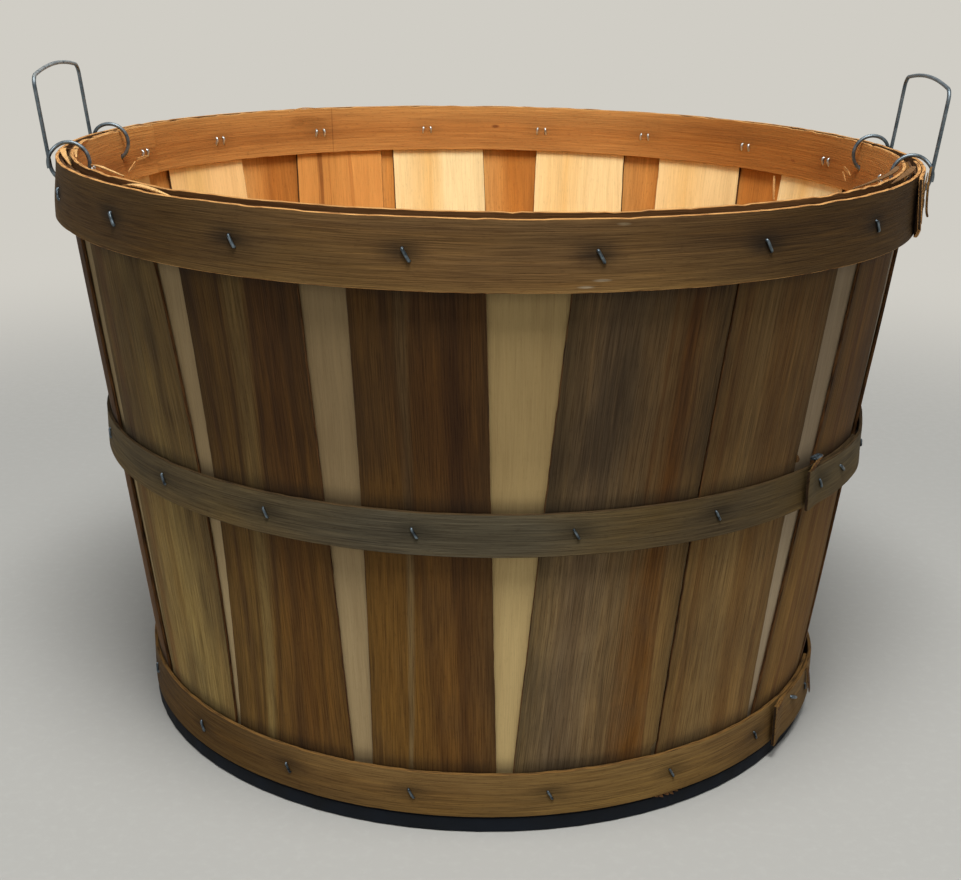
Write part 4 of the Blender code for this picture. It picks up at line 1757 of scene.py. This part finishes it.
# The torn spots: the rim's lap, the rim by each handle, the laps of the lower hoops
TORN = (
    TornWood(
        "rim_lap_plies", "rim_hoop_veneer", True,
        (
            Sliver(Lie.ROUND, (
                (-23.4, 234.4, 286.2, 0.6), (-23.2, 234.1, 294.0, 1.2), (-22.9, 234.1, 304.0, 1.2),
                (-22.2, 234.5, 310.8, 0.5),
            )),
            Sliver(Lie.ROUND, (
                (-20.6, 236.0, 288.0, 0.9), (-20.9, 235.2, 292.0, 1.3), (-20.9, 234.8, 302.0, 1.5),
                (-20.2, 235.0, 311.6, 1.2), (-19.2, 235.6, 312.2, 0.5),
            ), 0.001),
            Sliver(Lie.FLAT, (
                (-30.0, 223.6, 308.5, 0.5), (-24.0, 225.0, 310.2, 1.6), (-18.5, 226.0, 310.8, 1.4),
                (-14.6, 225.8, 309.5, 0.4),
            )),
            Sliver(Lie.FLAT, (
                (-38.0, 216.0, 309.0, 0.4), (-28.0, 217.8, 310.4, 1.2), (-19.5, 218.2, 310.4, 1.3),
                (-14.8, 217.8, 309.2, 0.4),
            )),
        ),
    ),
    TornWood(
        "left_rim_splinters", "rim_hoop_veneer", False,
        (
            Sliver(Lie.FLAT, (
                (-138.5, 223.8, 306.8, 0.6), (-135.5, 225.0, 309.4, 2.0),
                (-131.5, 226.2, 309.8, 1.7), (-127.5, 227.0, 308.0, 0.5),
            )),
            Sliver(Lie.FLAT, (
                (-173.0, 225.5, 307.8, 0.6), (-168.5, 226.2, 310.4, 1.5),
                (-163.0, 225.4, 310.0, 1.2), (-157.0, 224.4, 308.0, 0.4),
            )),
            Sliver(Lie.FLAT, (
                (-184.0, 221.5, 308.0, 0.5), (-178.0, 220.5, 310.2, 1.2),
                (-170.0, 220.0, 309.8, 1.0), (-163.0, 219.5, 308.6, 0.4),
            )),
            Sliver(Lie.FLAT, (
                (-154.0, 216.2, 309.2, 0.4), (-148.0, 217.2, 311.0, 1.0),
                (-141.0, 216.8, 310.0, 0.3),
            )),
            Sliver(Lie.UPRIGHT, (
                (168.2, 210.0, 291.2, 1.1), (170.4, 208.4, 289.8, 1.2), (172.8, 207.4, 288.6, 0.3),
            )),
            Sliver(Lie.UPRIGHT, (
                (167.6, 209.8, 293.2, 0.8), (165.8, 208.8, 293.6, 0.7), (164.6, 208.2, 294.2, 0.2),
            )),
        ),
    ),
    TornWood(
        "right_rim_splinters", "rim_hoop_veneer", False,
        (
            Sliver(Lie.UPRIGHT, (
                (11.2, 210.0, 295.2, 0.9), (9.0, 208.8, 294.2, 1.0), (6.8, 207.6, 292.8, 0.3),
            )),
            Sliver(Lie.UPRIGHT, (
                (11.6, 210.0, 292.2, 0.7), (10.0, 208.8, 290.2, 0.8), (9.0, 208.0, 288.6, 0.2),
            )),
            Sliver(Lie.ROUND, (
                (33.3, 217.0, 264.0, 0.6), (33.7, 218.0, 271.0, 0.8), (34.1, 219.0, 278.5, 0.7),
            )),
            Sliver(Lie.FLAT, (
                (128.0, 215.0, 308.8, 0.3), (125.0, 215.4, 310.8, 0.8), (120.5, 215.0, 309.2, 0.3),
            )),
        ),
    ),
    TornWood(
        "mid_lap_splinters", "mid_hoop_veneer", True,
        (
            Sliver(Lie.ROUND, (
                (-42.4, 215.8, 173.0, 1.4), (-42.0, 216.6, 176.2, 2.2), (-41.2, 217.0, 179.0, 1.8),
                (-39.8, 216.2, 179.6, 0.6),
            )),
            Sliver(Lie.ROUND, (
                (-44.2, 211.6, 179.0, 0.9), (-44.5, 212.6, 181.2, 1.0), (-44.9, 213.0, 183.6, 0.2),
            )),
        ),
    ),
    TornWood(
        "bottom_lap_fibres", "bottom_hoop_veneer", True,
        (
            Sliver(Lie.ROUND, (
                (-36.9, 198.5, 29.2, 1.2), (-36.4, 199.0, 32.5, 1.3), (-35.4, 198.7, 34.2, 0.4),
            )),
            Sliver(Lie.ROUND, (
                (-22.4, 197.8, 33.0, 1.8), (-21.8, 198.6, 26.2, 2.1), (-21.2, 199.2, 19.0, 1.4),
                (-20.9, 199.4, 15.2, 0.4),
            )),
            # The frayed feet of the staves under the hoop: azimuth, drop and half width in mm
            *(
                Sliver(Lie.ROUND, (
                    (at, 193.8, 10.2, half),
                    (at + 0.2, 194.2, 10.2 - drop * 0.6, half * 0.9),
                    (at + 0.6, 194.4, 10.2 - drop, 0.3),
                ))
                for at, drop, half in (
                    (-62.9, 2.0, 1.2), (-62.0, 3.0, 1.3), (-61.0, 2.6, 1.5),
                    (-60.1, 3.2, 1.1), (-59.3, 2.2, 1.2), (-58.6, 1.4, 0.9),
                )
            ),
        ),
    ),
)


# The whole


@dataclass
class Studio:
    """The floor, the lamps and the camera.

    Args:
        lens: The camera's focal length in millimetres.
        place: The camera's place.
        pitch: How far it looks down.
        roll: How far it is turned round its view.
        shift: The shift of its frame.
        floor_radius: The floor's radius.
        near_floor: The floor's colour near the basket.
        far_floor: Its colour farther off.
        backdrop: The colour of what the camera sees beyond it.
        sky: The colour of the even light from all round.
        sky_strength: The strength of that light.
        haze: The distances between which the floor turns to the backdrop.
        lamps: Each lamp's name, place, target, size and power.
    """

    lens: float = 55.72
    place: Triple = (0.0022, -0.8281, 0.4118)
    pitch: float = 18.132
    roll: float = 0.894
    shift: tuple[float, float] = (-0.0081, -0.0024)
    floor_radius: float = 14.0
    near_floor: str = "#a3a29d"
    far_floor: str = "#c4c4c1"
    backdrop: str = "#d0cdc5"
    sky: str = "#f4f6f8"
    sky_strength: float = 0.3
    haze: tuple[float, float] = (0.40, 1.35)
    lamps: tuple[tuple[str, Triple, Triple, float, float], ...] = (
        ("key", (0.05, -0.85, 2.3), (0.0, 0.05, 0.15), 1.0, 70.0),
        ("fill", (-1.0, -2.6, 1.6), (0.0, 0.0, 0.12), 2.0, 3.0),
        ("back", (0.3, 2.4, 1.5), (0.0, 0.0, 0.12), 2.0, 7.0),
    )

    def build(self) -> None:
        """Builds the floor, the lights and the camera."""
        build = bmesh.new()
        bmesh.ops.create_circle(build, cap_ends=True, segments=64, radius=self.floor_radius)
        mesh = bpy.data.meshes.new("studio_floor")
        build.to_mesh(mesh)
        build.free()
        new_piece(mesh.name, mesh, [self._floor_paint()])
        self._world()
        for name, place, target, size, power in self.lamps:
            data = bpy.data.lights.new(name, "AREA")
            data.size = size
            data.energy = power
            lamp = new_piece(name, data)
            lamp.location = place
            aim = Vector(target) - Vector(place)
            lamp.rotation_euler = aim.to_track_quat("-Z", "Y").to_euler()
        self._camera()
        bpy.context.scene.view_settings.view_transform = "Standard"

    def _floor_paint(self) -> Material:
        """Returns matt paint, paler away from the basket, as on the floor of a sweep backdrop."""
        paint, tree, shader = new_paint("studio_floor_matt_paint")
        place = add_node(tree, PLACE).outputs["Object"]
        away = add_node(tree, VECTOR, {0: place}, operation="LENGTH").outputs["Value"]
        paler = {0: away, 1: 0.45, 2: 2.2}
        share = add_node(tree, RANGE, paler, interpolation_type="SMOOTHSTEP")
        fine = {"Vector": place, "Scale": 160.0, "Detail": 6.0, "Roughness": 0.7}
        speck = add_node(tree, NOISE, fine)
        flecked = add_node(tree, RANGE, {0: speck, 1: 0.3, 2: 0.7, 3: -0.09, 4: 0.09})
        toned = add_node(tree, MATH, {0: share, 1: flecked}, operation="ADD")
        stops = ((0.0, self.near_floor), (1.0, self.far_floor))
        tone = paint_ramp(add_node(tree, RAMP, {0: toned}), stops)
        feed(tree, shader, {"Base Color": tone, "Roughness": 0.9})
        # Far off, what the camera sees of it turns to the backdrop's colour, so no horizon shows
        rays = add_node(tree, "ShaderNodeLightPath").outputs
        direct = {0: rays["Is Camera Ray"], 1: rays["Is Glossy Ray"]}
        seen = add_node(tree, MATH, direct, operation="MAXIMUM")
        near, far = self.haze
        off = {0: away, 1: near, 2: far}
        distant = add_node(tree, RANGE, off, interpolation_type="SMOOTHERSTEP")
        hazy = add_node(tree, MATH, {0: seen, 1: distant}, operation="MULTIPLY")
        backdrop = add_node(tree, "ShaderNodeEmission", {"Color": linear(self.backdrop)})
        both = add_node(tree, "ShaderNodeMixShader", {0: hazy, 1: shader, 2: backdrop})
        feed(tree, tree.nodes["Material Output"], {"Surface": both})
        return paint

    def _world(self) -> None:
        """Sets an even pale sky, which the camera sees as the backdrop."""
        world = bpy.data.worlds.new("studio")
        bpy.context.scene.world = world
        world.use_nodes = True
        tree = world.node_tree
        light = {"Color": linear(self.sky), "Strength": self.sky_strength}
        sky = feed(tree, tree.nodes["Background"], light)
        seen = add_node(tree, "ShaderNodeBackground", {"Color": linear(self.backdrop)})
        ray = add_node(tree, "ShaderNodeLightPath").outputs["Is Camera Ray"]
        both = add_node(tree, "ShaderNodeMixShader", {0: ray, 1: sky, 2: seen})
        feed(tree, tree.nodes["World Output"], {"Surface": both})

    def _camera(self) -> None:
        """Places the camera where the photograph was taken from."""
        data = bpy.data.cameras.new("camera")
        data.lens = self.lens
        data.sensor_width = 36.0
        data.shift_x, data.shift_y = self.shift
        data.clip_start = 0.01
        camera = new_piece("camera", data)
        pitch, roll = math.radians(self.pitch), math.radians(self.roll)
        right = Vector((1, 0, 0))
        up = Vector((0, math.sin(pitch), math.cos(pitch)))
        rolled_right = right * math.cos(roll) + up * math.sin(roll)
        rolled_up = up * math.cos(roll) - right * math.sin(roll)
        turned = Matrix((rolled_right, rolled_up, right.cross(up))).transposed().to_4x4()
        camera.matrix_world = Matrix.Translation(self.place) @ turned
        bpy.context.scene.camera = camera


# The marks of each hoop's face that shows: azimuth, level on the band, half length, half width,
# colour and strength
BAND_MARKS = {
    "outer_rim_hoop": (
        # Three rubbed spots, a darker stretch, and painted shade towards both handles, where the
        # band turns away from the light
        (-79.6, 0.0025, 0.0035, 0.0006, "#b9ab92", 0.7),
        (-77.9, 0.0052, 0.0040, 0.0006, "#b9ab92", 0.6),
        (-75.8, 0.0285, 0.0030, 0.0007, "#a89878", 0.6),
        (-112.0, 0.006, 0.060, 0.016, "#5a4422", 0.6),
        (-40.0, 0.0155, 0.135, 0.040, "#46300f", 0.94),
        (-143.0, 0.0155, 0.120, 0.038, "#503812", 0.9),
    ),
    "mid_hoop": (
        (-94.0, 0.010, 0.090, 0.020, "#4f4c40", 0.7),
        # Painted shade on the right, where the band turns away from the light
        (-55.0, 0.010, 0.090, 0.026, "#523f1e", 0.75),
    ),
    "bottom_hoop": (
        # Painted shade on the left, where the band turns away from the light
        (-144.0, 0.012, 0.100, 0.032, "#583d12", 0.85),
        (-70.0, 0.012, 0.070, 0.020, "#92743f", 0.4),
    ),
    "inner_rim_hoop": (
        # A knot, a darker stretch, a small knot and a crease
        (89.0, 0.016, 0.0028, 0.0011, "#6e3a14", 0.85),
        (36.0, 0.015, 0.110, 0.036, "#9a5c20", 0.7),
        (30.0, 0.010, 0.0022, 0.0009, "#7a4218", 0.7),
        (119.0, 0.0145, 0.0005, 0.020, "#7a4a20", 0.5),
    ),
}
# The azimuths of the hoops' staples that the photograph shows; the others follow evenly
MID_STAPLES = (-159.9, -137.3, -118.1, -98.2, -78.5, -59.0)
LOW_STAPLES = (-161.2, -138.7, -119.5, -99.7, -79.6, -60.1, -41.6)


@dataclass
class Basket:
    """The whole basket.

    Args:
        tree: The tree of the staples.
        row_count: The staples in each row.
        row_step: The angle between two staples round the back.
        crown_shift: The angle from a rim staple's node to its crown.
        mid_level: The level of the middle hoop's staples.
        low_level: The level of the bottom hoop's.
        crown_sink: How far the rim's crowns lie in the band.
        lower_sink: How far those of the two lower hoops do.
        loose_sink: How far those through the laps do.
        end_stand: How far the rim's clinched ends stand off the band.
        mid_end_size: The size of the middle row's clinched ends, of a rim staple's.
        lower_size: The size of the two lower rows' crowns.
    """

    tree: StapleTree = field(default_factory=StapleTree)
    row_count: int = 18
    row_step: float = 20.0
    crown_shift: float = 0.45
    mid_level: float = 0.1640
    low_level: float = 0.0200
    crown_sink: float = 0.0004
    lower_sink: float = 0.0005
    loose_sink: float = 0.0003
    end_stand: float = 0.0002
    mid_end_size: float = 0.8
    lower_size: float = 0.85

    def build(self) -> None:
        """Builds every piece in order."""
        self.handles()
        self.hoops()
        StaveSkins(self.stave_edge, self.cutters).build()
        self.bottom()
        self.staples()
        self.splinters()
        for cutter in self.cutters:
            bpy.data.objects.remove(cutter)

    def handles(self) -> None:
        """Builds the two handles and the rings that cut their holes."""
        hinges = {joint["child"]: Vector(joint["pos_m"]) for joint in frame["joints"]}
        self.cutters = []
        for side, facing, crust in (("left", 180.0, 0.8), ("right", 0.0, 0.0)):
            wire = DrawnWire(f"galvanised_wire_{side}", "#59646a", "#7d878c", 0.45, crust, 0.3445)
            body = f"{side}_handle"
            handle = WireHandle(f"handle_{side}", body, hinges[body], facing, wire)
            handle.build()
            self.cutters += handle.hole_cutters()

    def _row(self, seen: Sequence[float], level: float) -> list[tuple[float, float]]:
        """Sets out a row of staples, evenly spaced where the photograph shows none.

        Args:
            seen: The azimuths of those that it shows.
            level: The row's level.

        Returns:
            Each staple's azimuth and level.
        """
        rest = [seen[-1] + self.row_step * (k + 1) for k in range(self.row_count - len(seen))]
        return [(signed(azimuth), level) for azimuth in (*seen, *rest)]

    def hoops(self) -> None:
        """Builds the four hoops."""
        # The middle hoop's edges are painted dark as painted shade, for the shadowed gap along its
        # upper edge, and the bands' ends are painted near black as painted shadow, for the shadow
        # beside each lap's end
        self.edge, self.dull_edge, painted_shade_edge, lap_end, self.stave_edge = (
            RawEdge(name, *tints).material()
            for name, *tints in (
                ("raw_rim_edge",),
                ("aged_hoop_edge", "#7c5a2c", "#604522", "#3c2810"),
                ("painted_shade_hoop_edge", "#4c3a20", "#3c2c16", "#22180a"),
                ("painted_shadow_lap_end", "#33220f", "#261909", "#140c04"),
                ("aged_stave_edge", "#5e3e1e", "#422a12", "#241608"),
            )
        )
        back = ((0.0, "#5e3f20"), (1.0, "#6e4a26"))
        hidden = VeneerFace("hoop_veneer_back", back, 0.03).material()
        self.rim_nodes = [f"rim_staple_{n + 1:02d}" for n in range(self.row_count)]
        middles = [sum(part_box(node), Vector()) / 2 for node in self.rim_nodes]
        self.rim_pins = [(azimuth_of(middle), middle.z) for middle in middles]
        self.mid_pins = self._row(MID_STAPLES, self.mid_level)
        self.low_pins = self._row(LOW_STAPLES, self.low_level)
        self.rim = Hoop(
            "outer_rim_hoop", "rim_hoop_veneer", 0.278, 0.031, 0.0018, -24.8, Side.OUTSIDE,
            self.rim_pins, end_lift=0.0016, splay=0.0018, chip=0.00035,
            bulge=(-168.0, 22.0, 0.0022), torn_corner=0.0075,
        )
        self.inner = Hoop(
            "inner_rim_hoop", "inner_hoop_veneer", 0.280, 0.029, 0.0017, 158.0, Side.INSIDE,
            self.rim_pins, flare=0.65, end_lift=0.0003, crest=0.0016, chip=0.0006,
        )
        self.mid = Hoop(
            "mid_hoop", "mid_hoop_veneer", 0.1535, 0.0207, 0.0017, -43.2, Side.OUTSIDE,
            self.mid_pins, end_lift=0.0022, chip=0.00022,
        )
        self.low = Hoop(
            "bottom_hoop", "bottom_hoop_veneer", 0.0089, 0.0237, 0.0019, -37.8, Side.OUTSIDE,
            self.low_pins, end_lift=0.0022, chip=0.0003,
        )
        shares = (0.0, 0.2, 0.45, 0.75, 1.0)
        browns = ("#8d6c3c", "#846335", "#775830", "#694d28", "#735632")
        for hoop, stops, grey, stain, fibre, edge, pierced in (
            (self.rim, tuple(zip(shares, browns)), 0.15, 0.9, 0.6, self.edge, self.cutters),
            (
                self.inner, ((0.0, "#bf8343"), (0.5, "#b37538"), (1.0, "#c48c4c")),
                0.0, 0.25, 0.3, self.edge, self.cutters,
            ),
            (
                self.mid, ((0.0, "#685430"), (0.5, "#60502f"), (1.0, "#6a5836")),
                0.45, 0.5, 0.6, painted_shade_edge, (),
            ),
            (
                self.low, ((0.0, "#705429"), (0.5, "#75572c"), (1.0, "#8a6c3e")),
                0.10, 0.5, 0.6, self.dull_edge, (),
            ),
        ):
            marks = tuple(
                Mark(hoop.grain_along(hoop.swept(azimuth)), *rest)
                for azimuth, *rest in BAND_MARKS[hoop.node]
            )
            shown = VeneerFace(
                f"{hoop.node}_veneer", stops, hoop.width, marks=marks, grey=grey, stain=stain,
                fibre=fibre, drift=0.22, broad=0.4, waver=0.002,
            ).material()
            faces = [hidden, shown] if hoop is self.inner else [shown, hidden]
            hoop.build([*faces, edge, lap_end], pierced)

    def bottom(self) -> None:
        """Dresses the base board and the floor boards, which keep their CAD shapes."""
        # The base board is painted near-black blue as painted shadow, for the deep shade under the
        # bottom hoop
        base = SawnBoard("painted_shadow_base_board", "#060e18", "#03070d", 0.88).material()
        boards = SawnBoard("sawn_floor_board", "#cfa368", "#a87a42").material()
        for node in ("base_board", "floor_board_front", "floor_board_middle", "floor_board_back"):
            for slot in frame["nodes"][node].material_slots:
                slot.material = base if node == "base_board" else boards
            LOG.info("%s: CAD shape with its own finish", node)

    def staples(self) -> None:
        """Builds the three rows of staples."""
        # One staple wire in two copies: the dark one, for the crowns on the outside, is painted
        # shade, and the bright one, for the clinched ends on the lit inside, is painted light
        dark, bright = (
            DrawnWire(f"staple_wire_{name}", body, bloom, rough, bloom_size=0.003).material()
            for name, body, bloom, rough in (
                ("dark", "#232a2e", "#7b8890", 0.34),
                ("bright", "#a9aca8", "#dfe2e0", 0.3),
            )
        )
        out, tree = Side.OUTSIDE, self.tree
        crowns, ends = [], []
        for azimuth, level in self.rim_pins:
            shown = azimuth + self.crown_shift
            radius = self.rim.face(shown, level, out) - self.crown_sink
            crowns.append(Pin(polar(radius, shown, level), shown))
            radius = self.inner.face(azimuth, level, Side.INSIDE) + self.end_stand
            ends.append(Pin(polar(radius, azimuth, level), azimuth, inside=True))
        StapleRow("rim_staples", crowns, tree, dark, self.rim_nodes).build()
        for azimuth, level in self.mid_pins:
            spot = polar(WALL.face(level) - WALL.wall_step, azimuth, level)
            ends.append(Pin(spot, azimuth, inside=True, size=self.mid_end_size))
        StapleRow("staple_ends", ends, tree, bright).build()
        # The loose staples, through the laps, were driven crooked
        mid_loose = ((-40.9, 0.1795, 62.0, 1.15), (-32.2, 0.1652, 24.0, 1.1))
        low_loose = ((-29.9, 0.0265, 34.0, 1.35),)
        for hoop, pins, loose in (
            (self.mid, self.mid_pins, mid_loose), (self.low, self.low_pins, low_loose),
        ):
            rows = [(*pin, 0.0, self.lower_size, self.lower_sink) for pin in pins]
            rows += [(*pin, self.loose_sink) for pin in loose]
            marks = [
                Pin(polar(hoop.face(turn, level, out) - sink, turn, level), turn, slant, size=size)
                for turn, level, slant, size, sink in rows
            ]
            StapleRow(f"{hoop.node}_staples", marks, tree, dark).build()

    def splinters(self) -> None:
        """Builds the torn plies and fibres."""
        fresh, aged = (
            VeneerFace(name, ((0.0, low), (1.0, high)), 0.01, fibre=0.6).material()
            for name, low, high in (
                ("torn_veneer_fibres", "#c58e50", "#dcae70"),
                ("aged_torn_fibres", "#5e3f20", "#74522c"),
            )
        )
        for torn in TORN:
            torn.build((aged, self.dull_edge) if torn.aged else (fresh, self.edge))


def main() -> None:
    """Builds the studio and the basket."""
    logging.basicConfig(level=logging.INFO, format="%(name)s: %(message)s")
    Studio().build()
    Basket().build()


if __name__ == "__main__":
    main()
